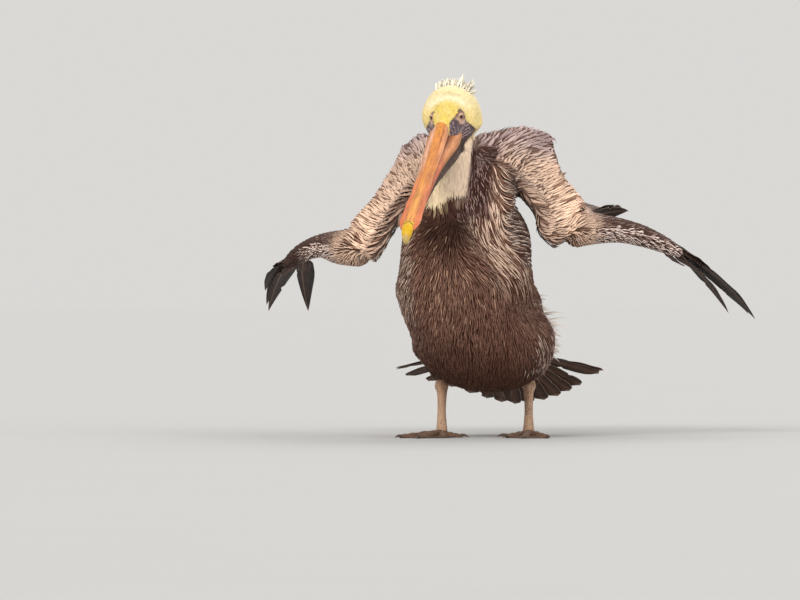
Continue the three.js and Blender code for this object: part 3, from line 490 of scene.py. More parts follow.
def markings(P, n, R, u, s, hl):
    tone, dark = np.tile(CHOC, (len(P), 1)), np.tile(CHOC_D, (len(P), 1))
    x, y, z = P.T
    s_up = P @ AXIS_UP
    front = -n[:, 1]
    side = n @ SIDE0
    mott = wave_noise(P, 46, 1)
    # trunk: chocolate front, near black low on the belly, silver-grey back
    low = 1 - smoothstep(95, 190, z + 12 * mott)
    tone, dark = blend_in(tone, DEEP, 0.85 * low), blend_in(dark, DEEP_D, 0.85 * low)
    back = smoothstep(0.15, 0.6, -front + 0.15 * mott)
    tone, dark = blend_in(tone, BACK, back), blend_in(dark, BACK_D, back)
    # the dark whorl under the neck
    d = np.linalg.norm((P - A(-62, -92, 322)) * A(1, 0.7, 0.8), axis=1)
    whorl = 1 - smoothstep(18, 46, d)
    tone, dark = blend_in(tone, DEEP * 0.36, whorl * (front > -0.2)), blend_in(dark, DEEP_D, whorl)
    # lighter brown down the middle of the breast, towards its right side
    mid = np.exp(-(((x + 52) / 42) ** 2 + ((z - 238) / 62) ** 2)) * smoothstep(0.0, 0.5, front)
    tone = blend_in(tone, A(0.40, 0.225, 0.155), 0.50 * mid)
    # tan plumes that sweep from the shoulder past the whorl to the breast
    left_x, right_x = sweep_edges(z)
    wob = 5 * wave_noise(P, 15, 41)
    sweep = smoothstep(-9, 9, x - left_x + wob) * smoothstep(7, -3, x - right_x) * smoothstep(426, 412, z) * smoothstep(222, 278, z) * smoothstep(0.0, 0.4, front)
    tone = blend_in(tone, A(0.93, 0.69, 0.54), np.clip(1.3 * sweep, 0, 0.96))
    dark = blend_in(dark, A(0.085, 0.034, 0.018), 0.8 * sweep)
    lower_sweep = smoothstep(-34, 6, x - left_x + wob) * smoothstep(345, 325, z) * smoothstep(205, 262, z) * smoothstep(0.0, 0.5, front)
    tone = blend_in(tone, A(0.52, 0.36, 0.285), 0.42 * lower_sweep)
    edge_r = smoothstep(-96, -112, x) * smoothstep(186, 215, z) * smoothstep(330, 300, z) * smoothstep(-0.4, 0.1, front)
    tone = blend_in(tone, A(0.36, 0.25, 0.20), 0.45 * edge_r)
    upper = smoothstep(330, 350, z) * smoothstep(0.0, 0.4, front)
    beside_m = upper * smoothstep(9, 2, x - 0.10 * (z - 360)) * smoothstep(-44, -34, x)
    tone, dark = blend_in(tone, A(0.27, 0.155, 0.140), beside_m), blend_in(dark, A(0.040, 0.013, 0.010), beside_m)
    # painted shade on the trunk at the armpit
    pit0 = smoothstep(21, 28, x) * smoothstep(366, 378, z) * smoothstep(0.0, 0.3, front)
    tone, dark = blend_in(tone, A(0.060, 0.024, 0.018), pit0), blend_in(dark, A(0.025, 0.009, 0.006), pit0)
    # the flank under the bird's left wing is dark
    fl = smoothstep(-5, 5, x - bar_edge(z)) * smoothstep(258, 280, z) * smoothstep(395, 378, z)
    tone, dark = blend_in(tone, A(0.050, 0.020, 0.014), 0.95 * fl), blend_in(dark, A(0.022, 0.007, 0.005), fl)
    # silvery ends along both edges of the belly
    rimw = smoothstep(62, 84, np.abs(x + 22 + 0.0 * z)) * smoothstep(290, 240, z) * smoothstep(92, 130, z) * smoothstep(0.9, 0.4, front)
    tone = blend_in(tone, A(0.50, 0.36, 0.30), 0.12 * rimw)
    # arms
    for k, g in (("left", 1), ("right", -1)):
        m = in_soft("arm_" + k, P, R)
        t, dk = np.tile(SILV, (len(P), 1)), np.tile(SILV_D, (len(P), 1))
        inner = (1 - smoothstep(0.015, 0.085, s)) * np.clip(0.72 + 0.5 * wave_noise(P, 9, 31), 0, 1)
        lilac = smoothstep(0.50, 0.95, s)
        t = blend_in(t, A(0.40, 0.27, 0.22), 0.75 * inner)
        dk = blend_in(dk, A(0.050, 0.020, 0.012), 0.9 * inner)
        t, dk = blend_in(t, LILAC * 1.12, 0.8 * lilac), blend_in(dk, A(0.20, 0.115, 0.090), 0.75 * lilac)
        shade = 0.5 + 0.5 * np.tanh(1.6 * wave_noise(P, 60, 3))
        t = t * ((0.88 + 0.18 * shade) * (0.90 + 0.24 * smoothstep(0.52, 0.90, u)))[:, None]
        if g > 0:
            # brown with pinkish streaks beside the neck; painted shade in the armpit and just below it
            mantle = smoothstep(22, 6, x + 0.12 * (400 - z)) * smoothstep(350, 372, z) * smoothstep(438, 418, z) * smoothstep(0, 0.4, front)
            t, dk = blend_in(t, A(0.27, 0.155, 0.145), mantle), blend_in(dk, A(0.040, 0.013, 0.010), mantle)
            pit = np.exp(-(((x - 24) / 13) ** 2 + ((z - 392) / 16) ** 2))
            t, dk = blend_in(t, A(0.060, 0.024, 0.018), 0.95 * pit), blend_in(dk, A(0.025, 0.009, 0.006), pit)
            pit2 = np.exp(-(((x - 44) / 10) ** 2 + ((z - 372) / 16) ** 2))
            t = blend_in(t, A(0.16, 0.085, 0.062), 0.8 * pit2)
        tone, dark = blend_in(tone, t, m), blend_in(dark, dk, m)
        m = in_soft("hand_" + k, P, R)
        near_wrist = 1 - smoothstep(0.03, 0.26, u)
        t = blend_in(np.tile(A(0.26, 0.170, 0.150), (len(P), 1)), SILV, near_wrist)
        dk = blend_in(np.tile(A(0.045, 0.020, 0.013), (len(P), 1)), SILV_D, near_wrist)
        tone, dark = blend_in(tone, t, m), blend_in(dark, dk, m)
    m = in_soft("thigh", P, R)
    tone, dark = blend_in(tone, DEEP * 1.1, m), blend_in(dark, DEEP_D, m)
    # white neck down to a ragged hem above the breast, brown beside it
    beside = np.clip(in_soft("neck", P, R), 0, 1) * smoothstep(-2, 2, x - neck_edge(z)) * smoothstep(462, 446, z)
    tone, dark = blend_in(tone, A(0.25, 0.145, 0.135), beside), blend_in(dark, A(0.038, 0.012, 0.009), beside)
    hem = neck_hem(x) + 2.5 * wave_noise(P, 12, 5) + 14 * smoothstep(-60, 10, y)
    wn = smoothstep(-2.5, 2.5, z - hem) * np.clip(in_soft("neck", P, R) + in_soft("head", P, R), 0, 1)
    wn = wn * np.maximum(smoothstep(2, -2, x - neck_edge(z)), smoothstep(444, 456, z))
    warm = np.maximum(smoothstep(385, 358, z) * smoothstep(-30, -62, x), 0.75 * smoothstep(-44, -70, x))
    wt, wd_ = blend_in(np.tile(WHITE, (len(P), 1)), CREAM * A(1, 1, 1.2), 0.65 * warm), blend_in(np.tile(WHITE_D, (len(P), 1)), CREAM_D, 0.45 * warm)
    tone, dark = blend_in(tone, wt, wn), blend_in(dark, wd_, wn)
    # head: gold forehead, a whitish band over the crown, pale feathers with a painted highlight on them, pale yellow
    # behind
    h = in_soft("head", P, R) * smoothstep(432, 446, z + 0.25 * (y + 46))
    a, up, sd = hl.T
    fore = smoothstep(9, 32, a - 0.05 * np.abs(sd) + 3.0 * wave_noise(P, 10, 7))
    # the band is pale only high on the crown: pale feathers with a painted highlight where the top of the head catches
    # the light
    band = np.exp(-((a - 7.5 - 0.06 * np.abs(sd) + 1.2 * wave_noise(P, 11, 17)) / 6.5) ** 2) * smoothstep(6, 22, up)
    cheek = smoothstep(14, -8, up)
    t = np.tile(CREAM, (len(P), 1))
    dk = np.tile(CREAM_D, (len(P), 1))
    crownw = smoothstep(6, -12, a)
    t, dk = blend_in(t, A(0.93, 0.84, 0.58), 0.8 * crownw), blend_in(dk, A(0.90, 0.79, 0.50), 0.8 * crownw)
    t, dk = blend_in(t, A(0.94, 0.74, 0.32), 0.45 * cheek * smoothstep(-30, 5, a)), blend_in(dk, A(0.88, 0.64, 0.24), 0.4 * cheek)
    t, dk = blend_in(t, GOLD, fore * (1 - 0.4 * cheek)), blend_in(dk, GOLD_D, fore * (1 - 0.4 * cheek))
    blot = smoothstep(0.0, 0.9, wave_noise(P, 17, 8)) * fore
    t, dk = blend_in(t, A(0.90, 0.74, 0.34), 0.55 * blot), blend_in(dk, A(0.84, 0.64, 0.24), 0.5 * blot)
    t, dk = blend_in(t, A(0.97, 0.93, 0.76), 0.66 * band), blend_in(dk, A(0.94, 0.88, 0.66), 0.66 * band)
    # paler between the eye and the bill, and under the cheek
    lore = np.exp(-(((a - 52) / 12) ** 2 + ((up - 16) / 6) ** 2)) * smoothstep(5, 10, np.abs(sd))
    t = blend_in(t, A(0.93, 0.76, 0.36), 0.6 * lore)
    pale_low = smoothstep(-20, -38, up) * smoothstep(16, 0, a)
    t, dk = blend_in(t, WHITE, 0.8 * pale_low), blend_in(dk, WHITE_D, 0.8 * pale_low)
    tone, dark = blend_in(tone, t, h), blend_in(dark, dk, h)
    return tone, dark


def in_soft(key, P, R):
    return soft[key] if len(P) == len(V) else (R == REG[key]).astype(float)


def inside(poly, a, b):
    """Whether points (a, b) lie in a polygon, and how far they are from its edge."""
    poly = np.asarray(poly, float)
    hit = np.zeros(len(a), bool)
    dist = np.full(len(a), 1e9)
    for i in range(len(poly)):
        p, q = poly[i], poly[(i + 1) % len(poly)]
        cond = ((p[1] > b) != (q[1] > b)) & (a < (q[0] - p[0]) * (b - p[1]) / (q[1] - p[1] + 1e-12) + p[0])
        hit ^= cond
        e = q - p
        t = np.clip(((a - p[0]) * e[0] + (b - p[1]) * e[1]) / (e @ e), 0, 1)
        dist = np.minimum(dist, np.hypot(a - p[0] - t * e[0], b - p[1] - t * e[1]))
    return np.where(hit, dist, -dist)


# bare skin: lores, eye rims and the corner of the gape, in head axes (along the
# head, up), the same on both sides
BARE = [(70, 9), (58, 12.5), (48, 13.5), (41, 14.0), (34.5, 17.4), (27.2, 19.9), (20.2, 18.4), (19.0, 12), (23.2, 6), (24.6, -1), (20.0, -11),
        (14.6, -19.6), (10.2, -24.6), (12.6, -28.6), (28, -29.8), (34.4, -31.4), (39.4, -33.7), (45.1, -39.7), (58, -45), (70, -48)]
LID = [(41.5, 12.8), (34.5, 16.2), (27.8, 18.8), (21.6, 17.0), (21.0, 12), (25.6, 6), (27.4, -2.2), (34, -2.4), (40.5, 3.5)]
BARE_R = [(70, 4), (58, 4.5), (48, 5), (41, 8), (37.5, 12.5), (33.5, 17.8), (28, 19.2)] + BARE[7:]
in_head = (R == REG["head"])
in_face = in_head | (in_reg["neck"] & (HL[:, 0] > 4) & (HL[:, 1] > -52))
bare_d = np.where(in_face & (np.abs(HL[:, 2] + 1.5 * smoothstep(50, 62, HL[:, 0])) > 8.4), np.where(HL[:, 2] > 0, inside(BARE, HL[:, 0], HL[:, 1]), inside(BARE_R, HL[:, 0], HL[:, 1])), -9.0)
lid_d = np.where(in_head & (np.abs(HL[:, 2]) > 8), inside(LID, HL[:, 0], HL[:, 1]), -9.0)
bare = smoothstep(-1.2, 0.8, bare_d)

depth = np.full(len(V), 4.2)
for key, val in (("neck", 2.6), ("head", 1.8), ("hand_left", 3.0), ("hand_right", 3.0), ("arm_left", 4.2), ("arm_right", 4.2), ("thigh", 2.6)):
    depth = depth + (val - depth) * np.clip(soft[key], 0, 1)
depth = spread(depth, 4) * (1 - bare) + 0.25 * bare
TONE, DARK = markings(V, N, R, U, SX, HL)
TONE, DARK = spread(TONE, 1), spread(DARK, 1)

# facial folds and sockets: the skin dips round each eye and creases at the gape
def eye_at(g):
    return EYES[g] - HEAD_SIDE * g * 1.6 - HEAD_AXIS * 0.3


def eye_aim(g):
    return norm(HEAD_SIDE * g * 0.66 + HEAD_AXIS * 0.70 + HEAD_UP * 0.10)


SK = V - N * depth[:, None]
SK[:, 0] -= 6.0 * soft["arm_left"] * np.exp(-((V[:, 2] - 308) / 15) ** 2) * smoothstep(118, 92, V[:, 0])
waist = soft["trunk"] if "trunk" in soft else (R == REG["trunk"]).astype(float)
SK[:, 0] -= waist * (8.5 * np.exp(-((V[:, 2] - 188) / 18) ** 2) * smoothstep(20, 60, V[:, 0])
                     + 4.0 * np.exp(-((V[:, 2] - 222) / 18) ** 2) * smoothstep(-70, -105, V[:, 0])
                     + 4.5 * np.exp(-((V[:, 2] - 128) / 12) ** 2) * smoothstep(-60, -90, V[:, 0]))
for g, c in EYES.items():
    r = np.linalg.norm(V - c, axis=1)
    socket = np.exp(-(r / 8.5) ** 2)
    SK -= N * (2.6 * socket)[:, None]
    lid = np.exp(-((r - 8.2) / 1.7) ** 2) * (np.sign(HL[:, 2]) == g)
    SK += N * (1.5 * lid)[:, None]
a, up, sd = HL.T
cheek_l = 4.0 * np.exp(-((up + 25) / 9.5) ** 2 - ((a - 1) / 15) ** 2) * smoothstep(8, 18, sd)
cheek_r = 2.4 * np.exp(-((up - 2) / 14) ** 2 - ((a - 8) / 16) ** 2) * smoothstep(-8, -18, sd)
SK += HEAD_SIDE * ((cheek_l - cheek_r) * (1 - bare) * in_head)[:, None]
# the line of the gape, from the bill's corner back and up towards the cheek
gape = up + 8.8 + 0.235 * (a - 46)
in_gape = smoothstep(8, 14, a) * bare
crease = np.exp(-((gape + 2.6 + 0.6 * np.sin(a * 0.45)) / 1.3) ** 2) * in_gape
ledge = np.exp(-(gape / 1.5) ** 2) * in_gape
near_eye = np.minimum(np.linalg.norm(V - EYES[1], axis=1), np.linalg.norm(V - EYES[-1], axis=1))
rows = np.sin(gape * 1.42 + 0.9 * np.sin(a * 0.33 + 0.6) + 0.8) * smoothstep(16, 22, a) * smoothstep(60, 50, a) * smoothstep(4, -2, gape)
folds = bare * (np.sin(a * 1.05 + 0.75 * up + 1.4 * np.sin(up * 0.5)) * 0.20 + np.sin(a * 0.6 - 1.3 * up) * 0.16 + 0.55 * rows) * smoothstep(8, 12, near_eye)
SK += N * (folds - 1.7 * crease + 0.9 * ledge)[:, None]
NS = mesh_normals(SK)

FACE, FACE_D = A(0.175, 0.115, 0.132), A(0.060, 0.034, 0.042)
LIDC = A(0.780, 0.480, 0.340)
# under the plumage the skin is mostly the feathers' dark colour: painted shade in the gaps between them
skin_col = mix(DARK, TONE, 0.14)
fc = mix(FACE_D, FACE, np.clip(0.5 + 0.5 * wave_noise(V, 6, 9), 0, 1)[:, None])
wrink = smoothstep(0.22, 0.62, folds) * smoothstep(6, -4, gape) * smoothstep(2, 8, a)
fc = blend_in(fc, A(0.66, 0.47, 0.47), 0.80 * wrink)
# painted shade in the troughs between the folds
fc = blend_in(fc, A(0.060, 0.034, 0.042), 0.75 * smoothstep(-0.2, -0.6, folds))
fc = blend_in(fc, A(0.74, 0.54, 0.50), 0.90 * ledge)
# painted shade along the crease at the gape
fc = blend_in(fc, A(0.02, 0.010, 0.010), 0.9 * crease)
fc = blend_in(fc, A(0.045, 0.022, 0.022), 0.8 * np.exp(-((bare_d - 1.0) / 1.6) ** 2) * smoothstep(-8, 2, up) + 0.75 * np.exp(-((bare_d - 1.0) / 1.4) ** 2) * smoothstep(24, 16, a))
jaw = smoothstep(-19, -27, up) * smoothstep(14, 26, a)
fc = blend_in(fc, A(0.085, 0.042, 0.030) * (0.8 + 0.5 * np.clip(0.5 + wave_noise(V, 5, 15), 0, 1))[:, None], 0.9 * jaw)
lidw = smoothstep(-0.5, 0.9, lid_d)
# painted shade from the brow: a dark arch just outside the top and rear of the lids
arch = smoothstep(0.2, -1.0, lid_d) * smoothstep(-7.5, -5.5, lid_d) * smoothstep(-6, 1, up) * smoothstep(47, 42, a)
fc = blend_in(fc, A(0.070, 0.032, 0.024), 0.92 * arch)
fc = blend_in(fc, LIDC * (0.92 + 0.1 * wave_noise(V, 5, 12))[:, None], lidw)
rim = np.exp(-((near_eye - EYE_RADIUS - 0.4) / 0.8) ** 2) * lidw
fc = blend_in(fc, A(0.10, 0.045, 0.038), 0.8 * rim)
# the lids are darkest along their upper and rear edges, which is painted shade from the brow, and palest below the eye
upper_rim = np.exp(-((lid_d - 0.6) / 1.0) ** 2) * np.maximum(smoothstep(11, 14.5, up), smoothstep(29, 24, a) * smoothstep(0, 5, up)) * lidw
fc = blend_in(fc, A(0.15, 0.052, 0.018), 0.85 * upper_rim)
under_eye = np.exp(-(((a - 33) / 7) ** 2 + ((up - 3) / 3.5) ** 2)) * lidw * (1 - rim)
fc = blend_in(fc, A(0.90, 0.60, 0.48), 0.7 * under_eye)
skin_col = blend_in(skin_col, fc, bare)

# ------------------------------------------------------------------ materials
def new_material(name):
    m = bpy.data.materials.new(name)
    m.use_nodes = True
    t = m.node_tree
    return m, t, t.nodes["Principled BSDF"]


class G:
    """A few short ways to lay out nodes."""

    def __init__(self, name, roughness=0.7, sheen=0.0, coat=0.0, specular=0.4):
        self.m, self.t, self.out = new_material(name)
        self.out.inputs["Roughness"].default_value = roughness
        self.out.inputs["Specular IOR Level"].default_value = specular
        self.out.inputs["Sheen Weight"].default_value = sheen
        self.out.inputs["Coat Weight"].default_value = coat

    def put(self, socket, value):
        if hasattr(value, "is_output"):
            self.t.links.new(value, socket)
        elif value is not None:
            socket.default_value = (*value, 1.0) if isinstance(value, (tuple, list, np.ndarray)) and len(value) == 3 and socket.type == "RGBA" else value

    def math(self, op, a, b=None, c=None, clamp=False):
        n = self.t.nodes.new("ShaderNodeMath")
        n.operation, n.use_clamp = op, clamp
        for i, v in enumerate((a, b, c)):
            if v is not None:
                self.put(n.inputs[i], v)
        return n.outputs[0]

    def ramp(self, x, lo, hi):
        n = self.t.nodes.new("ShaderNodeMapRange")
        n.interpolation_type = "SMOOTHSTEP"
        self.put(n.inputs["Value"], x)
        n.inputs["From Min"].default_value, n.inputs["From Max"].default_value = lo, hi
        return n.outputs[0]

    def mix(self, f, a, b, kind="MIX"):
        n = self.t.nodes.new("ShaderNodeMix")
        n.data_type, n.blend_type = "RGBA", kind
        self.put(n.inputs[0], f)
        self.put(n.inputs[6], a)
        self.put(n.inputs[7], b)
        return n.outputs[2]

    def attr(self, name, out="Color"):
        n = self.t.nodes.new("ShaderNodeAttribute")
        n.attribute_name = name
        return n.outputs[out]

    def xyz(self, v):
        n = self.t.nodes.new("ShaderNodeSeparateXYZ")
        self.put(n.inputs[0], v)
        return n.outputs

    def obj(self):
        return self.t.nodes.new("ShaderNodeTexCoord").outputs["Object"]

    def stretch(self, v, scale):
        n = self.t.nodes.new("ShaderNodeMapping")
        self.put(n.inputs["Vector"], v)
        n.inputs["Scale"].default_value = scale
        return n.outputs[0]

    def noise(self, v, scale, detail=3.0, rough=0.55, dist=0.0):
        n = self.t.nodes.new("ShaderNodeTexNoise")
        self.put(n.inputs["Vector"], v)
        n.inputs["Scale"].default_value, n.inputs["Detail"].default_value = scale, detail
        n.inputs["Roughness"].default_value, n.inputs["Distortion"].default_value = rough, dist
        return n.outputs[0]

    def cells(self, v, scale, feature="DISTANCE_TO_EDGE"):
        n = self.t.nodes.new("ShaderNodeTexVoronoi")
        n.feature = feature
        self.put(n.inputs["Vector"], v)
        n.inputs["Scale"].default_value = scale
        return n.outputs["Distance"]

    def wave(self, v, scale, distortion=0.0, direction="X"):
        n = self.t.nodes.new("ShaderNodeTexWave")
        n.bands_direction = direction
        self.put(n.inputs["Vector"], v)
        n.inputs["Scale"].default_value, n.inputs["Distortion"].default_value = scale, distortion
        return n.outputs["Fac"]

    def bump(self, height, strength, distance=0.001, under=None):
        n = self.t.nodes.new("ShaderNodeBump")
        n.inputs["Strength"].default_value, n.inputs["Distance"].default_value = strength, distance
        self.put(n.inputs["Height"], height)
        if under is not None:
            self.put(n.inputs["Normal"], under)
        return n.outputs[0]

    def done(self, color, normal=None, roughness=None):
        self.put(self.out.inputs["Base Color"], color)
        if normal is not None:
            self.put(self.out.inputs["Normal"], normal)
        if roughness is not None:
            self.put(self.out.inputs["Roughness"], roughness)
        return self.m


def plume_material(name, streak=(0.25, 0.75), tip=0.0, barbs=26.0, roughness=0.72, sheen=0.25, shaft=0.0, wear=0.35, root_shade=0.55, one_edge=False):
    """Feather finish: a centre streak in "tone" between "dark" edges, partly painted
    shade between feathers; barbs that run out and forward from the shaft, a root
    in painted shade and worn, uneven tips."""
    g = G(name, roughness, sheen, 0.0, 0.18)
    x, y, r = g.xyz(g.attr("fv", "Vector"))
    ax = g.math("MULTIPLY", x, 1.0) if one_edge else g.math("ABSOLUTE", x)
    wob = g.noise(g.obj(), 420.0, 3.0, 0.6)
    w = g.math("ADD", ax, g.math("MULTIPLY", g.math("SUBTRACT", wob, 0.5), 0.55))
    f = g.ramp(w, streak[1], streak[0])
    if tip:
        f = g.math("MAXIMUM", f, g.math("MULTIPLY", g.ramp(y, 0.72, 0.92), tip))
    col = g.mix(f, g.attr("dark"), g.attr("tone"))
    # each feather a little lighter, darker, warmer or greyer
    vary = g.math("ADD", g.math("MULTIPLY", r, 0.26), 0.86)

    hsv = g.t.nodes.new("ShaderNodeHueSaturation")
    g.put(hsv.inputs["Value"], vary)
    g.put(hsv.inputs["Saturation"], g.math("ADD", g.math("MULTIPLY", wob, 0.3), 0.86))
    g.put(hsv.inputs["Color"], col)
    col = hsv.outputs[0]
    # barbs
    line = g.math("SINE", g.math("ADD", g.math("MULTIPLY", y, barbs * 6.283), g.math("MULTIPLY", ax, -barbs * 1.6)))
    line = g.math("MULTIPLY", g.math("ADD", line, 1.0), 0.5)
    col = g.mix(g.math("MULTIPLY", line, 0.14), col, g.attr("dark"))
    # painted shade: the base of each vane darkened towards its dark colour, where the feather above covers it
    if root_shade:
        col = g.mix(g.math("MULTIPLY", g.ramp(y, 0.5, 0.05), root_shade), col, g.attr("dark"))
    if shaft:
        s = g.ramp(ax, 0.10, 0.03)
        col = g.mix(g.math("MULTIPLY", s, shaft), col, (0.72, 0.58, 0.44))
    if wear:
        col = g.mix(g.math("MULTIPLY", g.ramp(g.noise(g.obj(), 95.0, 4.0, 0.65), 0.55, 0.75), wear * 0.5), col, g.attr("tone"))
    bump = g.bump(g.math("ADD", line, g.math("MULTIPLY", wob, 0.8)), 0.35, 0.0004)
    return g.done(col, bump, g.math("ADD", g.math("MULTIPLY", wob, 0.16), roughness - 0.08))


M_BELLY = plume_material("plumage_breast", (0.10, 0.66), 0.0, 24, 0.80, 0.0, wear=0.06, root_shade=0.62)
M_SWEEP = plume_material("plumage_shoulder", (0.36, 0.74), 0.0, 22, 0.82, 0.0, wear=0.08, root_shade=0.35)
M_BACK = plume_material("plumage_back", (0.30, 0.80), 0.0, 30, 0.8, 0.0, shaft=0.15)
M_ARM = plume_material("plumage_arm", (0.22, 0.56), 0.0, 22, 0.82, 0.0, wear=0.06, root_shade=0.35, one_edge=True)
M_HAND = plume_material("plumage_hand", (0.16, 0.66), 0.0, 22, 0.76, 0.0, wear=0.05, root_shade=0.75)
M_HANDL = plume_material("plumage_hand_long", (0.95, 0.42), 0.35, 22, 0.76, 0.0, wear=0.15)
M_FLANK = plume_material("plumage_flank", (0.40, 0.70), 0.0, 20, 0.78, 0.0, wear=0.0, root_shade=0.0, one_edge=True)
M_WHITE = plume_material("plumage_neck", (0.35, 0.98), 0.0, 14, 0.9, 0.0, wear=0.0, root_shade=0.2)
M_HEAD = plume_material("plumage_head", (0.35, 0.98), 0.0, 12, 0.9, 0.0, wear=0.0, root_shade=0.15)
M_THIGH = plume_material("plumage_thigh", (0.1, 0.6), 0.0, 18, 0.8, 0.0)


def skin_material():
    g = G("skin_under_plumage", 0.7, 0.15, 0.0, 0.35)
    col, b = g.attr("tone"), g.attr("bare", "Fac")
    fine = g.noise(g.obj(), 700.0, 4.0, 0.6)
    cell = g.cells(g.obj(), 620.0)
    col = g.mix(g.math("MULTIPLY", g.ramp(cell, 0.16, 0.02), g.math("MULTIPLY", b, 0.55)), col, (0.03, 0.018, 0.02))
    col = g.mix(g.math("MULTIPLY", g.ramp(fine, 0.5, 0.8), g.math("ADD", 0.06, g.math("MULTIPLY", b, 0.2))), col, g.mix(b, (0.5, 0.4, 0.33), (0.42, 0.33, 0.34)))
    # the bare face: rows of pale folds along the gape, painted shade between them, and dark at the rim
    ha, hu, hs = g.xyz(g.attr("hl", "Vector"))
    bd = g.attr("bd", "Fac")
    warp = g.math("MULTIPLY", g.math("SUBTRACT", g.noise(g.attr("hl", "Vector"), 0.14, 3.0, 0.6), 0.5), 11.0)
    gape_n = g.math("ADD", g.math("ADD", hu, 8.8), g.math("MULTIPLY", g.math("SUBTRACT", ha, 46.0), 0.235))
    wavy_n = g.math("SINE", g.math("ADD", g.math("MULTIPLY", gape_n, 1.35), warp))
    lore_n = g.math("SINE", g.math("ADD", g.math("MULTIPLY", g.math("ADD", ha, g.math("MULTIPLY", hu, 0.5)), 0.95), g.math("MULTIPLY", warp, 1.2)))
    below = g.ramp(gape_n, 2.5, -1.0)
    row_n = g.math("ADD", g.math("MULTIPLY", wavy_n, below), g.math("MULTIPLY", lore_n, g.math("SUBTRACT", 1.0, below)))
    calm = g.attr("lidw", "Fac")
    on_face = g.math("MULTIPLY", b, g.math("SUBTRACT", 1.0, g.math("MAXIMUM", calm, g.attr("arch", "Fac"))))
    above_jaw = g.math("MULTIPLY", g.ramp(hu, -27.0, -21.0), g.math("ADD", 0.25, g.ramp(g.noise(g.attr("hl", "Vector"), 0.42, 2.0, 0.5), 0.42, 0.60)))
    col = g.mix(g.math("MULTIPLY", g.math("MULTIPLY", g.ramp(row_n, 0.38, 1.0), on_face), g.math("MULTIPLY", above_jaw, 0.70)), col, g.mix(below, (0.32, 0.235, 0.29), (0.64, 0.47, 0.46)))
    # painted shade in the troughs between the rows
    col = g.mix(g.math("MULTIPLY", g.math("MULTIPLY", g.ramp(row_n, -0.15, -0.85), on_face), 0.72), col, (0.050, 0.027, 0.036))
    rim_n = g.math("MULTIPLY", g.ramp(bd, 4.6, 2.2), g.math("MULTIPLY", g.ramp(bd, -1.0, 0.2), g.math("MAXIMUM", g.ramp(ha, 27.0, 20.0), g.ramp(hu, -20.0, -26.0))))
    col = g.mix(g.math("MULTIPLY", rim_n, 0.85), col, (0.040, 0.018, 0.014))
    height = g.math("ADD", g.math("MULTIPLY", g.ramp(cell, 0.0, 0.3), b), g.math("MULTIPLY", fine, 0.7))
    height = g.math("ADD", height, g.math("MULTIPLY", g.math("MULTIPLY", row_n, on_face), 1.6))
    rough = g.math("SUBTRACT", 0.82, g.math("MULTIPLY", b, g.math("ADD", 0.22, g.math("MULTIPLY", fine, 0.2))))
    return g.done(col, g.bump(height, 0.5, 0.0006), rough)


M_SKIN = skin_material()

# ------------------------------------------------------------------ the skin
def lids(g):
    """The two lids of one eye: a thin hood over the ball with an almond gap."""
    c, aim = eye_at(g), eye_aim(g)
    e1 = norm(along(aim, HEAD_UP))
    e2 = np.cross(aim, e1)
    ph = 2 * np.pi * np.arange(72) / 72
    vert = np.cos(ph)
    open_ = np.where(vert > 0, 0.62 - 0.17 * vert ** 2, 0.62 - 0.10 * vert ** 2) + 0.03 * np.sin(2 * ph) * g
    ts_ = np.array([0.0, 0.035, 0.10, 0.20, 0.36, 0.56, 0.78, 1.0])
    th = open_[:, None] + (1.75 - open_[:, None]) * ts_
    rad = EYE_R * np.array([1.010, 1.075, 1.125, 1.13, 1.115, 1.10, 1.08, 1.0]) * (1 + 0.012 * np.sin(9 * ts_ * 3.1))
    d = np.cos(th)[..., None] * aim + np.sin(th)[..., None] * (np.cos(ph)[:, None, None] * e1 + np.sin(ph)[:, None, None] * e2)
    v = c + d * rad[None, :, None]
    n_, k_ = len(ph), len(ts_)
    i = np.arange(n_)[:, None]
    j = np.arange(k_ - 1)[None]
    q = lambda i, j: (i % n_) * k_ + j
    f = np.stack([q(i, j), q(i, j + 1), q(i + 1, j + 1), q(i + 1, j)], -1).reshape(-1, 4)
    col = LIDC * (0.93 + 0.10 * np.sin(th * 14 + 2 * np.sin(ph * 3)[:, None]))[..., None]
    margin = np.exp(-((ts_ - 0.03) / 0.05) ** 2)[None, :, None] * np.ones((n_, 1, 1))
    col = mix(col, A(0.11, 0.050, 0.038), 0.85 * margin)
    # painted shade from the brow over the upper part of each lid
    hood = (smoothstep(0.25, 0.85, vert)[:, None] * smoothstep(0.30, 0.60, ts_)[None])[..., None]
    col = mix(col, A(0.12, 0.052, 0.034), 0.85 * hood)
    return v.reshape(-1, 3), f, np.clip(col, 0, 1).reshape(-1, 3)


lid_parts = [lids(1), lids(-1)]
VX = np.concatenate([SK] + [p[0] for p in lid_parts])
off = np.cumsum([len(SK)] + [len(p[0]) for p in lid_parts])
FX = np.concatenate([F] + [p[1] + o for p, o in zip(lid_parts, off)])
extra = len(VX) - len(SK)
skin = make_mesh("skin", place(VX), FX, M_SKIN, colors={"tone": np.concatenate([skin_col] + [p[2] for p in lid_parts])}, attrs={"hl": np.concatenate([HL] + [head_local(p[0]) for p in lid_parts])})
bare = np.concatenate([bare, np.ones(extra)])
bare_d, lidw, arch = np.concatenate([bare_d, np.full(extra, 9.0)]), np.concatenate([lidw, np.ones(extra)]), np.concatenate([arch, np.zeros(extra)])
ba = skin.data.attributes.new("bare", "FLOAT", "POINT")
ba.data.foreach_set("value", bare.astype(np.float32))
for key_, val_ in (("bd", bare_d), ("lidw", lidw), ("arch", arch)):
    at_ = skin.data.attributes.new(key_, "FLOAT", "POINT")
    at_.data.foreach_set("value", np.asarray(val_, np.float32))
bpy.context.view_layer.objects.active = skin
skin.select_set(True)
bpy.ops.object.mode_set(mode="EDIT")
bpy.ops.mesh.select_all(action="SELECT")
skin.data.uv_layers.new(name="OFBake")
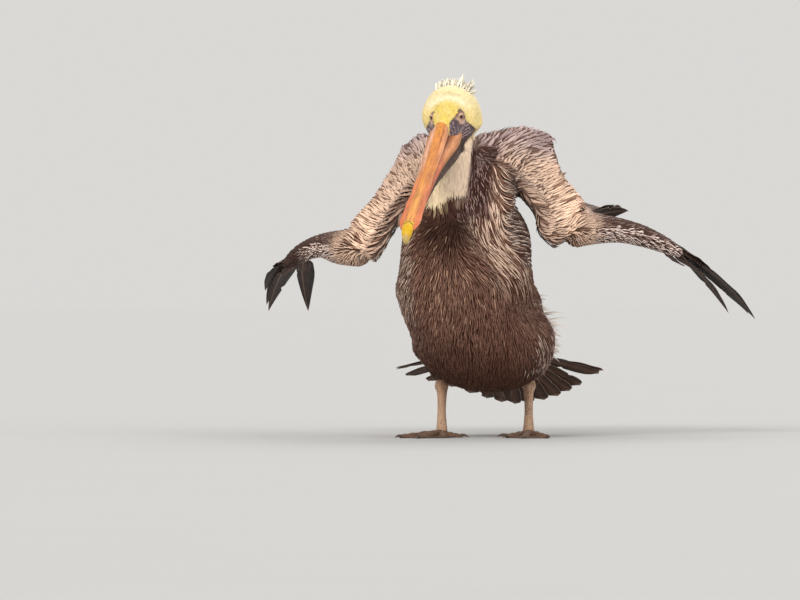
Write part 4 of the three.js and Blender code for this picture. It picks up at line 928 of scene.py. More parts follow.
bpy.ops.uv.smart_project(angle_limit=math.radians(62), island_margin=0.004, area_weight=0.0)
bpy.ops.object.mode_set(mode="OBJECT")
skin.select_set(False)
uvl = np.empty(len(FX) * 4 * 2, np.float32)
skin.data.uv_layers["OFBake"].data.foreach_get("uv", uvl)
uvl = uvl[:len(F) * 8]
bare, bare_d, lidw, arch = (w[:len(V)] for w in (bare, bare_d, lidw, arch))
FACE_UV = uvl.reshape(-1, 4, 2).mean(1)

bvh = BVHTree.FromPolygons(SK.tolist(), F.tolist())
FIELD = np.concatenate([NS, FLOW, TONE, DARK, HL, U[:, None], SX[:, None], bare[:, None], depth[:, None]], 1)


def on_skin(P):
    q, f = np.empty_like(P), np.empty(len(P), int)
    near = bvh.find_nearest
    for i, p in enumerate(P):
        c, _, k, _ = near(p)
        q[i] = c
        f[i] = k
    return q, f


def fields(P, f):
    c = SK[F[f]]
    w = 1 / (np.linalg.norm(c - P[:, None], axis=2) + 0.15) ** 2
    w /= w.sum(1, keepdims=True)
    v = np.einsum("nk,nkc->nc", w, FIELD[F[f]])
    return dict(n=norm(v[:, 0:3]), flow=norm(v[:, 3:6]), tone=v[:, 6:9], dark=v[:, 9:12], hl=v[:, 12:15],
                u=v[:, 15], s=v[:, 16], bare=v[:, 17], depth=v[:, 18])


_q, _f = on_skin(SK - FLOW * 13.0)
_miss = np.linalg.norm(_q + norm(FLOW[F[_f]].mean(1)) * 13.0 - SK, axis=1)
SOURCE = np.clip(spread(smoothstep(5.0, 11.0, _miss), 4) * 1.3, 0, 1)
print("source area", float((SOURCE > 0.5).mean()))

# ------------------------------------------------------------------ scatter
FACE_AREA = 0.5 * np.linalg.norm(np.cross(SK[F[:, 2]] - SK[F[:, 0]], SK[F[:, 3]] - SK[F[:, 1]]), axis=1)
FACE_R = R[F[:, 0]]


def scatter(spacing, mask, seed, lengthen=1.0):
    """Evenly spaced roots over the faces where mask is true; spacing is one
    number for each vertex, and grows by "lengthen" along the lie of the coat."""
    r = np.random.default_rng(seed)
    sp = spacing[F].mean(1)
    dens = np.where(mask[F].mean(1) > 0.5, FACE_AREA / (0.72 * lengthen * sp ** 2), 0)
    want = int(dens.sum() * 4.5)
    f = r.choice(len(F), want, p=dens / dens.sum())
    a, b = r.random((2, want, 1))
    c = SK[F[f]]
    P = (c[:, 0] * (1 - a) + c[:, 1] * a) * (1 - b) + (c[:, 3] * (1 - a) + c[:, 2] * a) * b
    keep_r = sp[f]
    cell = float(np.percentile(keep_r, 95)) * lengthen ** 0.9
    squeeze = 1 - 1 / lengthen ** 2
    lie = norm(FLOW[F[f]].mean(1)).tolist()
    grid, chosen = {}, []
    keys = np.floor(P / cell).astype(int).tolist()
    pts, keep_r = P.tolist(), keep_r.tolist()
    for i in range(want):
        kx, ky, kz = keys[i]
        p, rr, ok, w = pts[i], keep_r[i], True, lie[i]
        for dx in (-1, 0, 1):
            for dy in (-1, 0, 1):
                for dz in (-1, 0, 1):
                    for j in grid.get((kx + dx, ky + dy, kz + dz), ()):
                        q = pts[j]
                        ex, ey, ez = p[0] - q[0], p[1] - q[1], p[2] - q[2]
                        if ex * ex + ey * ey + ez * ez - squeeze * (ex * w[0] + ey * w[1] + ez * w[2]) ** 2 < rr * rr:
                            ok = False
                            break
                    if not ok:
                        break
                if not ok:
                    break
            if not ok:
                break
        if ok:
            grid.setdefault((kx, ky, kz), []).append(i)
            chosen.append(i)
    chosen = np.array(chosen)
    return P[chosen], f[chosen]

# ------------------------------------------------------------------ feathers
COAT_TRIS = [0]


def feather_mesh(name, C, side, up, W, T, crown, uv0, rnd, tone, dark, material, ts=None, under=None, soften=0.0):
    """Closed thin vanes. C: (n, k, 3) spine points; side, up: (n, k, 3);
    W, T: (n, k) half width and half thickness at each."""
    n, k = C.shape[:2]
    mid = C[:, 1:-1]
    sd, nu = side[:, 1:-1], up[:, 1:-1]
    w, h = W[:, 1:-1, None], T[:, 1:-1, None]
    cr = crown * w
    ring = np.stack([mid + sd * w - nu * cr * 0.5, mid + nu * (h + cr * 0.5), mid - sd * w - nu * cr * 0.5, mid - nu * (h - cr * 0.5)], 2)
    m = k - 2
    verts = np.concatenate([ring.reshape(n, m * 4, 3), C[:, :1], C[:, -1:]], 1)
    per = m * 4 + 2
    quads = ring_faces(m, 4)
    j = np.arange(4)
    q = (j + 1) % 4
    caps = np.concatenate([np.stack([np.full(4, m * 4), q, j], -1), np.stack([np.full(4, m * 4 + 1), (m - 1) * 4 + j, (m - 1) * 4 + q], -1)])
    base = (np.arange(n) * per)[:, None, None]
    # facing out: up must be on the outer side of the top vertex
    v0 = verts[0]
    t = np.concatenate([quads[:, [0, 1, 2]], quads[:, [0, 2, 3]], caps])
    if np.sum(v0[t[:, 0]] * np.cross(v0[t[:, 1]], v0[t[:, 2]])) - np.sum(v0.mean(0) * np.cross(v0[t[:, 1]] - v0[t[:, 0]], v0[t[:, 2]] - v0[t[:, 0]]).sum(0)) < 0:
        quads, caps = quads[:, ::-1], caps[:, ::-1]
    Q = (quads[None] + base).reshape(-1, 4)
    K = (caps[None] + base).reshape(-1, 3)
    ts = np.broadcast_to(ts, (n, k))
    across = np.concatenate([np.tile(A(1, 0, -1, 0), m), [0, 0]])
    alng = np.concatenate([np.repeat(ts[:, 1:-1], 4, axis=1), ts[:, :1], ts[:, -1:]], 1)
    fv = np.stack([np.broadcast_to(across, (n, per)), alng, np.broadcast_to(rnd[:, None], (n, per))], -1)
    uv = uv0[:, None] + np.stack([across[None] * 0.0015 + 0 * alng, (alng - 0.5) * 0.003], -1)
    rep = lambda c: np.broadcast_to(c[:, None], (n, per, 3)).reshape(-1, 3)
    # shade as one soft coat: each vane's own normal leans towards the skin's
    base_n = up if under is None else norm(up * (1 - soften) + under * soften)
    nb, sb = base_n[:, 1:-1], side[:, 1:-1]
    nring = norm(np.stack([nb + sb * 0.32 * (1 - soften), nb, nb - sb * 0.32 * (1 - soften), -nb], 2))
    nv = np.concatenate([nring.reshape(n, m * 4, 3), base_n[:, :1], base_n[:, -1:]], 1).reshape(-1, 3)
    ob = make_mesh(name, place(verts.reshape(-1, 3)), [Q, K], material, uv=np.clip(uv.reshape(-1, 2), 0.0005, 0.9995),
                   attrs={"fv": fv.reshape(-1, 3)}, colors={"tone": rep(tone), "dark": rep(dark)}, normals=nv)
    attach(ob, "root")
    COAT_TRIS[0] += len(Q) * 2 + len(K)
    print("coat", name, n, "vanes", len(Q) * 2 + len(K), "tris")
    return ob


LANCE = lambda t: np.clip(np.sin(np.pi * np.clip(t, 0, 1) ** 0.8) ** 0.75, 0, 1)
ROUND = lambda t: np.clip(0.45 + 1.1 * t, 0, 1) * np.sqrt(np.clip(1 - np.clip((t - 0.62) / 0.40, 0, 1) ** 2, 0, 1))
SPIKE = lambda t: np.clip(0.55 + 0.9 * t, 0, 1) * np.clip(1.06 - t, 0, 1) ** 0.8


def coat(name, mask, spacing, L, W, material, slot, seed, ts=(0, 0.2, 0.5, 0.78, 0.94, 1), shape=ROUND, lift=(0.5, 0.9),
         free=0.0, raise_=0.0, wild=0.12, thick=0.5, crown=0.25, vary=0.2, tune=None, droop=0.0, lengthen=1.0, soften=0.55,
         wavy=0.0, ripple=16.0, roll=0.08, bias=0.0):
    """Vanes over a region, marched along the skin with the lie of the coat."""
    spacing = np.full(len(V), float(spacing)) if np.isscalar(spacing) else spacing
    spacing = spacing * (1 - 0.42 * SOURCE)
    P, f = scatter(spacing, mask, seed, lengthen)
    src = SOURCE[F[f]].mean(1)
    r = np.random.default_rng(seed + 500)
    n, k = len(P), len(ts)
    ts = np.array(ts, float)
    d0 = fields(P, f)
    rnd = r.random(n)
    opts = dict(L=np.full(n, float(L)), W=np.full(n, float(W)), raise_=np.full(n, float(raise_)), free=np.full(n, float(free)),
                lift0=np.full(n, lift[0]), lift1=np.full(n, lift[1]), tone=d0["tone"].copy(), dark=d0["dark"].copy(), keep=np.ones(n, bool))
    if tune:
        tune(opts, P, d0, r)
    opts["L"] = opts["L"] * r.uniform(1 - vary, 1 + vary, n) * (1 - 0.45 * src)
    opts["W"] = opts["W"] * r.uniform(1 - vary * 0.6, 1 + vary * 0.6, n)
    ok = opts["keep"]
    P, f, rnd, n = P[ok], f[ok], rnd[ok], int(ok.sum())
    d0 = {a: b[ok] for a, b in d0.items()}
    opts = {a: b[ok] for a, b in opts.items()}
    # neighbours turn together in long ripples, and each a little by itself
    yaw = r.normal(size=n) * wild + wavy * wave_noise(P, ripple, seed)
    Ln = opts["L"][:, None]
    pts, nrm, tan = [P], [d0["n"]], []
    turn = lambda d, nn: norm(d * np.cos(yaw)[:, None] + np.cross(nn, d) * np.sin(yaw)[:, None])
    d = turn(norm(along(d0["n"], opts.get("flow", d0["flow"]))), d0["n"])
    tan.append(d)
    cur, dirn, nn = P, d, d0["n"]
    for i in range(1, k):
        step = (ts[i] - ts[i - 1]) * Ln
        guess = cur + dirn * step
        q, fi = on_skin(guess)
        fd = fields(q, fi)
        nn = fd["n"]
        new = turn(norm(along(nn, fd["flow"])), nn)
        dirn = norm(along(nn, dirn) * 0.55 + new * 0.45)
        cur = q
        pts.append(cur)
        nrm.append(nn)
        tan.append(dirn)
    C, NN, TT = np.stack(pts, 1), np.stack(nrm, 1), np.stack(tan, 1)
    dep = d0["depth"][:, None]
    h = dep * (opts["lift0"][:, None] * 0.25 + (opts["lift1"][:, None] - 0.1) * ts ** 0.8)
    S = C + NN * h[..., None]
    # a free vane keeps its own straight line instead of hugging the skin
    straight = P[:, None] + d[:, None] * (ts * Ln)[..., None] + d0["n"][:, None] * (0.3 * dep + opts["raise_"][:, None] * ts ** 1.5 * Ln)[..., None]
    if droop:
        straight = straight + A(0, 0, -1) * (droop * ts ** 2 * Ln)[..., None]
    fr = (opts["free"][:, None] * ts)[..., None]
    S = S * (1 - fr) + straight * fr
    S = S + NN * (opts["raise_"][:, None] * (1 - opts["free"][:, None]) * ts ** 1.6 * Ln)[..., None]
    tang = norm(np.gradient(S, axis=1))
    roll = r.normal(size=n)[:, None, None] * roll + bias
    sd = norm(np.cross(NN, tang))
    up = np.cross(tang, sd)
    sd, up = norm(sd + up * roll), norm(up - sd * roll)
    prof = shape(ts)
    Wk = opts["W"][:, None] * 0.5 * prof
    Tk = np.broadcast_to(thick * 0.5 * (1.1 - 0.6 * ts), (n, k))
    return feather_mesh(name, S, sd, up, Wk, Tk, crown, FACE_UV[f], rnd, opts["tone"], opts["dark"], material, ts=ts, under=NN, soften=soften)


front_m = (-N[:, 1] > -0.15)
m_trunk = in_reg["trunk"]
sw_l, sw_r = sweep_edges(V[:, 2] + 6 * wave_noise(V, 18, 43))
m_sweep = m_trunk & front_m & ~bars & (V[:, 2] > 226) & (V[:, 2] < 428) & (V[:, 0] > sw_l) & (V[:, 0] < sw_r + 6)
m_head = in_reg["head"] & (V[:, 2] > 438)
feathered = bare < 0.35


def tune_breast(o, P, d, r):
    """Narrow ruffled plumes at the whorl, longer below, wispy on the flanks."""
    z = P[:, 2]
    o["L"] *= 0.82 + 0.40 * smoothstep(330, 230, z) - 0.25 * smoothstep(130, 70, z)
    o["W"] *= 0.85 + 0.3 * smoothstep(330, 200, z)
    near = np.exp(-((P[:, 0] + 62) ** 2 + (z - 325) ** 2) / 55 ** 2)
    o["raise_"] += 0.08 * near * r.random(len(P)) + 0.03 * r.random(len(P))
    sweep = np.exp(-(((P[:, 0] - 14) / 34) ** 2 + ((z - 335) / 44) ** 2))
    o["raise_"] += 0.10 * sweep * r.random(len(P))
    o["tone"] *= (0.62 + 0.75 * r.random(len(P)) ** 1.4)[:, None] * A(0.96, 1.02, 1.08)
    beside = smoothstep(9, 2, P[:, 0] - 0.10 * (z - 360)) * smoothstep(340, 352, z) * smoothstep(-44, -34, P[:, 0])
    edge_l = smoothstep(-92, -108, P[:, 0]) * smoothstep(178, 205, z) * smoothstep(330, 300, z)
    silver = r.random(len(P)) < 0.42 * edge_l
    o["tone"] = np.where(silver[:, None], A(0.88, 0.68, 0.56) * (0.8 + 0.3 * r.random(len(P)))[:, None], o["tone"])
    edge_r = smoothstep(58, 76, P[:, 0]) * smoothstep(90, 112, z) * smoothstep(172, 150, z)
    silver = r.random(len(P)) < 0.34 * edge_r
    o["tone"] = np.where(silver[:, None], A(0.70, 0.54, 0.46), o["tone"])
    o["raise_"] += 0.05 * np.maximum(edge_l, edge_r) * r.random(len(P))
    pink = r.random(len(P)) < 0.40
    o["tone"] = blend_in(o["tone"], np.where(pink[:, None], A(0.52, 0.36, 0.335), A(0.085, 0.036, 0.030)), beside)
    # painted highlights: a few random feathers made pale as glints, more of them higher up
    glint = r.random(len(P)) < 0.07 * smoothstep(150, 210, z)
    o["tone"] = blend_in(o["tone"], SILV * A(0.85, 0.78, 0.7), 0.6 * glint)


def tune_sweep(o, P, d, r):
    """Tan plumes from the shoulder, ruffled, that part round the whorl."""
    o["raise_"] += 0.09 * r.random(len(P)) ** 1.5
    deep = r.random(len(P)) < 0.27
    o["tone"] *= (0.80 + 0.28 * r.random(len(P)))[:, None]
    o["tone"][deep] *= A(0.26, 0.19, 0.165)


def tune_bars(o, P, d, r):
    """Dark plumes of the flank, each with a thin pale rim, lying outwards."""
    pale = r.random(len(P)) < 0.70
    o["dark"] = np.where(pale[:, None], A(0.86, 0.70, 0.60), A(0.07, 0.03, 0.022))
    o["tone"] = np.tile(A(0.045, 0.018, 0.013), (len(P), 1)) * (0.7 + 0.6 * r.random(len(P)))[:, None]


def tune_back(o, P, d, r):
    o["tone"] *= (0.8 + 0.45 * r.random(len(P)))[:, None]
    rump = smoothstep(190, 120, P[:, 2])
    o["raise_"] += (0.06 + 0.20 * rump) * r.random(len(P)) ** 2
    o["L"] *= 1 + 0.25 * rump
    o["W"] *= 1 - 0.25 * rump


def tune_arm(o, P, d, r):
    """Long narrow ruffled coverts: upright at the shoulder, lying at the wrist."""
    top = 1 - smoothstep(0.05, 0.5, d["u"])
    edge = smoothstep(0.75, 1.0, d["s"])
    o["raise_"] += (0.02 + 0.05 * top + 0.06 * edge * top) * r.random(len(P)) ** 1.3
    o["L"] *= 0.85 + 0.3 * d["s"] - 0.42 * smoothstep(0.72, 1, d["u"])
    o["W"] *= (1 + 0.25 * smoothstep(0.6, 1, d["s"])) * (1 - 0.28 * smoothstep(0.45, 0.9, d["u"]))
    o["free"] += 0.20 * edge
    o["tone"] *= (0.80 + 0.32 * r.random(len(P)))[:, None]
    crest_z = smoothstep(402, 440, P[:, 2])
    o["tone"] = blend_in(o["tone"], o["tone"] * A(0.86, 0.92, 1.12), crest_z)
    o["raise_"] += 0.10 * crest_z * (1 - 0.7 * edge) * r.random(len(P)) ** 2
    deep = r.random(len(P)) < 0.10 + 0.14 * crest_z
    o["tone"][deep] *= A(0.40, 0.33, 0.30)


def tune_hand(o, P, d, r):
    """Small scalloped coverts with pale rims over the lower half of the hand."""
    pick = r.random(len(P))
    wrist = 1 - smoothstep(0.0, 0.20, d["u"])
    tone = np.where((pick < 0.66)[:, None], A(1.0, 0.80, 0.72), A(0.34, 0.22, 0.18))
    o["tone"] = blend_in(tone, d["tone"], wrist)
    o["dark"] = blend_in(np.tile(A(0.030, 0.012, 0.009), (len(P), 1)), d["dark"], wrist)
    far = smoothstep(-262, -280, P[:, 0])
    o["tone"] = blend_in(o["tone"], A(0.085, 0.046, 0.036), far)
    o["L"] *= 0.9 + 0.25 * d["u"] + 0.9 * wrist
    o["W"] *= 1 - 0.2 * wrist


def tune_hand_long(o, P, d, r):
    """Long parallel dark coverts, edged with lilac, along the upper half."""
    pick = r.random(len(P))
    wrist = 1 - smoothstep(0.0, 0.24, d["u"])
    tone = np.where((pick < 0.38)[:, None], A(0.56, 0.40, 0.36), A(0.13, 0.078, 0.064))
    tone = blend_in(tone, A(0.080, 0.044, 0.035), np.maximum(smoothstep(-236, -262, P[:, 0]), 0.75 * (r.random(len(P)) < 0.5) * smoothstep(-205, -225, P[:, 0])))
    o["tone"] = blend_in(tone, d["tone"], wrist)
    o["dark"] = blend_in(np.tile(A(0.055, 0.025, 0.018), (len(P), 1)), mix(d["tone"], d["dark"], 0.6), wrist)


def tune_neck(o, P, d, r):
    o["tone"] *= (0.96 + 0.07 * r.random(len(P)))[:, None]
    hem = smoothstep(378, 356, P[:, 2])
    o["L"] *= 1 + 0.25 * hem


def tune_head(o, P, d, r):
    near_bare = smoothstep(0.0, 0.3, d["bare"])
    back = smoothstep(5, -25, d["hl"][:, 0]) * smoothstep(-5, 15, d["hl"][:, 1])
    o["L"] *= (1 + 0.7 * back) * (1 - 0.45 * near_bare)
    o["W"] *= 1 + 0.3 * back
    o["raise_"] += 0.10 * back * r.random(len(P))
    o["tone"] *= (0.96 + 0.06 * r.random(len(P)))[:, None]


def tune_side(o, P, d, r):
    """Brown plumes with pinkish streaks that hang beside the white neck."""
    pink = r.random(len(P)) < 0.4 * smoothstep(-46, -38, P[:, 0])
    o["tone"] = np.where(pink[:, None], A(0.56, 0.39, 0.365), A(0.085, 0.036, 0.030)) * (0.75 + 0.5 * r.random(len(P)))[:, None]


def tune_wisps(o, P, d, r):
    """Sparse pale threads that stand off the rump and the edge of the belly."""
    o["tone"] = np.tile(A(0.74, 0.58, 0.50), (len(P), 1)) * (0.55 + 0.5 * r.random(len(P)))[:, None]
    o["dark"] = o["tone"] * 0.5
    o["flow"] = norm(d["flow"] * 0.5 + A(1.0, 0.2, -0.15) * np.sign(P[:, :1] + 22) + 0.35 * r.normal(size=(len(P), 3)))


S5 = (0, 0.25, 0.6, 0.9, 1)
S4 = (0, 0.35, 0.8, 1)
S7 = (0, 0.12, 0.3, 0.5, 0.7, 0.86, 0.96, 1)
S6 = (0, 0.14, 0.38, 0.64, 0.86, 0.96, 1)
coat("coat_breast", m_trunk & front_m & (V[:, 0] < -20) & ~m_sweep, 1.6, 20, 3.0, M_BELLY, "dark_plumage", 21, tune=tune_breast, wild=0.08, shape=LANCE, lengthen=3.0, wavy=0.14, ripple=20, ts=S6)
coat("coat_flank", m_trunk & front_m & (V[:, 0] >= -20) & ~bars & ~m_sweep, 1.6, 20, 3.0, M_BELLY, "dark_plumage", 22, tune=tune_breast, wild=0.08, shape=LANCE, lengthen=3.0, wavy=0.14, ripple=20, ts=S6)
coat("coat_sweep", m_sweep, 2.1, 30, 3.4, M_SWEEP, "silver_plumage", 25, tune=tune_sweep, wild=0.06, shape=LANCE, lengthen=3.4, wavy=0.14, ripple=22, ts=S7)
coat("coat_flank_bars", bars, 3.3, 24, 4.6, M_FLANK, "dark_plumage", 24, tune=tune_bars, wild=0.08, lengthen=2.6, wavy=0.16, ripple=18, roll=0.2, shape=LANCE)
coat("coat_back", m_trunk & ~front_m, 5.2, 36, 8.5, M_BACK, "dark_plumage", 23, tune=tune_back, wild=0.10, thick=0.6, lengthen=1.6)
arm_pitch = 3.6 - 1.0 * smoothstep(0.45, 0.9, U)
for k in ("left", "right"):
    m = in_reg["arm_" + k]
    out = N[:, 1] < 0
    coat(f"coat_arm_{k}_front", m & out & ~mantle_m, arm_pitch, 40, 6.6, M_ARM, "silver_plumage", 31 + (k == "left"), tune=tune_arm, wild=0.035, shape=LANCE, thick=0.5, lengthen=3.6, wavy=0.10, ripple=30, ts=S7, roll=0.05, bias=0.16 if k == "left" else -0.16)
    coat(f"coat_arm_{k}_rear", m & ~out, 3.2, 30, 5.0, M_ARM, "silver_plumage", 41 + (k == "left"), tune=tune_arm, wild=0.07, shape=LANCE, lengthen=2.6, wavy=0.12, ripple=24)
    upper = N[:, 2] + 0.12 * np.sin(V[:, 0] * 0.21 + V[:, 1] * 0.13) > 0.18
    coat(f"coat_hand_{k}_long", in_reg["hand_" + k] & upper, 3.0, 26, 4.8, M_HANDL, "silver_plumage", 55 + (k == "left"), tune=tune_hand_long, wild=0.06, lengthen=2.4, shape=LANCE)
    coat(f"coat_hand_{k}", in_reg["hand_" + k] & ~upper, 2.55, 14.5, 3.9, M_HAND, "silver_plumage", 51 + (k == "left"), tune=tune_hand, wild=0.08, ts=S5, lengthen=1.25)
coat("coat_mantle", mantle_m | beside_neck, 1.9, 25, 3.0, M_BELLY, "dark_plumage", 63, tune=tune_side, wild=0.07, shape=LANCE, lengthen=3.0, wavy=0.16, ripple=20)
coat("coat_thighs", in_reg["thigh"] & (V[:, 2] > 84), 2.6, 14, 3.4, M_THIGH, "dark_plumage", 61, wild=0.10, ts=S5, shape=LANCE, lengthen=1.8)
coat("coat_neck", white_neck & ~m_head & feathered, 1.35, 11, 2.0, M_WHITE, "white_plumage", 62, tune=tune_neck, wild=0.04, ts=S4, thick=0.3, lift=(0.4, 0.8), lengthen=2.4, soften=0.85, wavy=0.04, shape=LANCE)
coat("coat_head", m_head & feathered, 0.92, 7.0, 1.35, M_HEAD, "white_plumage", 64, tune=tune_head, wild=0.06, ts=S4, thick=0.28, lift=(0.4, 0.8), shape=LANCE, lengthen=2.2, soften=0.85, wavy=0.05)
rump = m_trunk & (V[:, 2] > 95) & (V[:, 2] < 215) & (np.abs(N[:, 1] - 0.15) < 0.45) & (V[:, 0] > 20)
coat("coat_wisps", rump, 6.0, 17, 2.2, M_WHITE, "dark_plumage", 66, tune=tune_wisps, wild=0.3, ts=S5, shape=SPIKE, raise_=0.22, free=0.6, thick=0.4, vary=0.4)


def edge_point(x, z):
    """The skin's outermost point on the bird's left at a height, in mm."""
    cost = np.abs(SK[:, 2] - z) * 2 + np.abs(SK[:, 0] - x) + 30 * np.abs(NS[:, 1]) + 200 * (R != REG["trunk"])
    return SK[int(np.argmin(cost))], NS[int(np.argmin(cost))]


FILAMENTS = [(80, 213, 13, 3.5), (83, 207, 8, 1), (86, 195, 16, 4), (90, 189, 30, 2), (92, 186, 12, -1), (94, 181, 28, 0), (96, 177, 15, 1), (98, 174, 34, -7), (99, 169, 16, -3),
             (101, 163, 13, -4), (103, 158, 15, -6), (104, 152, 12, -5), (105, 146, 15, -8), (104, 140, 13, -9), (103, 134, 12, -9), (101, 128, 11, -10)]
rr = np.random.default_rng(909)
fb, fe, fn, fw = [], [], [], []
for x, z, dx, dz in FILAMENTS:
    for j in range(3 if dx > 20 else 5):
        p, n = edge_point(x + 4, z + rr.normal() * 2.4)
        k_ = (1.0 if j == 0 else rr.uniform(0.35, 0.8))
        fb.append(p - n * 0.5)
        fe.append(p + A(dx * k_ + 3, rr.normal() * 4 + 3, dz * k_ + rr.normal() * 1.8))
        fn.append(n)
        fw.append(2.5 if j == 0 else 1.7)
fb, fe, fn, fw = np.array(fb), np.array(fe), np.array(fn), np.array(fw)
tw = np.array(S6)
C = fb[:, None] + (fe - fb)[:, None] * tw[None, :, None] + A(0, 0, 1.0) * (4 * tw * (1 - tw) * 0.9)[None, :, None]
tang = norm(np.gradient(C, axis=1))
upf = norm(along(tang, np.broadcast_to(A(0, -1, 0.2), tang.shape)))
sdf = np.cross(upf, tang)
near_f = on_skin(fb)[1]
tone_f = np.tile(A(0.93, 0.82, 0.74), (len(fb), 1)) * rr.uniform(0.8, 1.0, len(fb))[:, None]
feather_mesh("coat_filaments", C, sdf, upf, fw[:, None] * 0.5 * SPIKE(tw)[None], np.full((len(fb), len(tw)), 0.28), 0.2, FACE_UV[near_f], rr.random(len(fb)), tone_f, tone_f * 0.75, M_WHITE, ts=tw)
print("coat triangles", COAT_TRIS[0])

# ------------------------------------------------------------------ flight feathers
QC = A(-1, -0.72, -0.38, -0.07, 0, 0.07, 0.38, 0.72, 1)


def quill_geometry(root, tip, side, dorsal, wl, wr, bow=6.0, twist=0.0, camber=0.10, thick=0.7, rows=20, seed=0, blunt=0.5, base=0.10, splits=3, sweep=0.0, taper=(2.2, 0.5)):
    """One feather of wing or tail: two vanes of their own width on a raised
    shaft that tapers from quill to tip; vane edges part here and there."""
    r = np.random.default_rng(seed)
    t = np.concatenate([[0.0], np.linspace(0.03, 1, rows) ** 0.92])
    d = norm(tip - root)
    s = norm(along(d, side))
    n = norm(along(d, along(s, dorsal)))
    L = np.linalg.norm(tip - root)
    spine = root + (tip - root) * t[:, None] + n * (4 * bow * t * (1 - t))[:, None] + s * (sweep * 4 * t * (1 - t))[:, None]
    T = norm(np.gradient(spine, axis=0))
    S = norm(along(T, np.broadcast_to(s, T.shape)))
    Nn = np.cross(T, S)
    Nn *= np.sign(np.sum(Nn * n, 1))[:, None]
    tw = twist * (t - 0.2)
    S, Nn = S * np.cos(tw)[:, None] + Nn * np.sin(tw)[:, None], Nn * np.cos(tw)[:, None] - S * np.sin(tw)[:, None]
    # width along the feather: quill, swelling vane, rounded or pointed end
    prof = smoothstep(base * 0.3, base * 1.6, t) * (0.72 + 0.28 * np.sin(np.pi * np.clip(t * 0.9, 0, 1)))
    end = np.clip((t - blunt) / (1.0 - blunt), 0, 1)
    prof = prof * np.clip(1 - end ** taper[0], 0, 1) ** taper[1]
    quill = 1.5 * (1 - 0.85 * t) * (0.55 + L / 500)
    left, right = np.maximum(wl * prof, quill), np.maximum(wr * prof, quill)
    cut_l, cut_r = np.ones(len(t)), np.ones(len(t))
    for _ in range(splits):
        k = r.integers(int(rows * 0.35), rows - 1)
        (cut_l if r.random() < 0.5 else cut_r)[k] *= r.uniform(0.72, 0.9)
    left, right = np.maximum(left * cut_l, quill * 0.8), np.maximum(right * cut_r, quill * 0.8)
    wave_l = 0.6 * np.sin(t * r.uniform(14, 26) + r.uniform(0, 6)) * prof
    wave_r = 0.6 * np.sin(t * r.uniform(14, 26) + r.uniform(0, 6)) * prof
    top, bot, across = [], [], []
    for q in QC:
        w = np.where(q < 0, left, right) * abs(q)
        if abs(q) < 0.1 and q != 0:
            w = np.minimum(quill * 1.1, np.where(q < 0, left, right) * 0.5)
        lay = S * (w * np.sign(q))[:, None]
        lift = -camber * (w ** 2) / max(wl, wr) + np.where(q < 0, wave_l, wave_r) * abs(q) ** 2
        h = thick * (0.75 - 0.45 * abs(q)) * (1 - 0.45 * t) + (0.0 if q else quill * 0.55)
        h = np.maximum(h, 0.16)
        top.append(spine + lay + Nn * (lift + h)[:, None])
        bot.append(spine + lay + Nn * (lift - h)[:, None])
        across.append(q)
    ring = np.stack(top + bot[::-1][1:-1], 1)
    ac = np.array(across + across[::-1][1:-1])
    v, q, c = capped(ring, root - d * 0.8, tip + d * 0.4)
    fv_a = np.concatenate([np.tile(ac, len(t)), [0, 0]])
    fv_t = np.concatenate([np.repeat(t, len(ac)), [0, 1]])
    return v, q, c, fv_a, fv_t


def quill_piece(name, specs, material, replaces=()):
    vs, qs, cs, fv, tone, dark, uv = [], [], [], [], [], [], []
    off = 0
    n = len(specs)
    cols = max(1, int(math.ceil(math.sqrt(n * 3.0))))
    rows_n = int(math.ceil(n / cols))
    for i, sp in enumerate(specs):
        sp = dict(sp)
        t, dk = sp.pop("tone"), sp.pop("dark")
        v, q, c, a, al = quill_geometry(seed=i * 7 + len(name), **sp)
        vs.append(v); qs.append(q + off); cs.append(c + off)
        rnd = hashed(np.array([[i * 1.0, len(name), 3.0]]))[0]
        fv.append(np.stack([a, al, np.full(len(v), rnd)], -1))
        tone.append(np.tile(t, (len(v), 1))); dark.append(np.tile(dk, (len(v), 1)))
        top = np.ones(len(v))
        k = 2 * len(QC) - 2
        idx = np.arange(len(v)) % k
        under = (idx >= len(QC)) & (np.arange(len(v)) < len(v) - 2)
        cu, cv = i % cols, i // cols
        u0 = (cu + 0.5 + 0.21 * a + np.where(under, 0.0, 0.0)) / cols
        v0 = (cv + 0.04 + 0.92 * al) / rows_n
        uv.append(np.stack([u0 + np.where(under, 0.0, 0.0), v0], -1))
        off += len(v)
    ob = make_mesh(name, place(np.concatenate(vs)), [np.concatenate(qs), np.concatenate(cs)], material, uv=np.concatenate(uv),
                   attrs={"fv": np.concatenate(fv)}, colors={"tone": np.concatenate(tone), "dark": np.concatenate(dark)})
    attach(ob, "root")
    if replaces:
        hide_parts(*replaces)
    COAT_TRIS[0] += sum(len(q) * 2 for q in qs) + sum(len(c) for c in cs)
    return ob


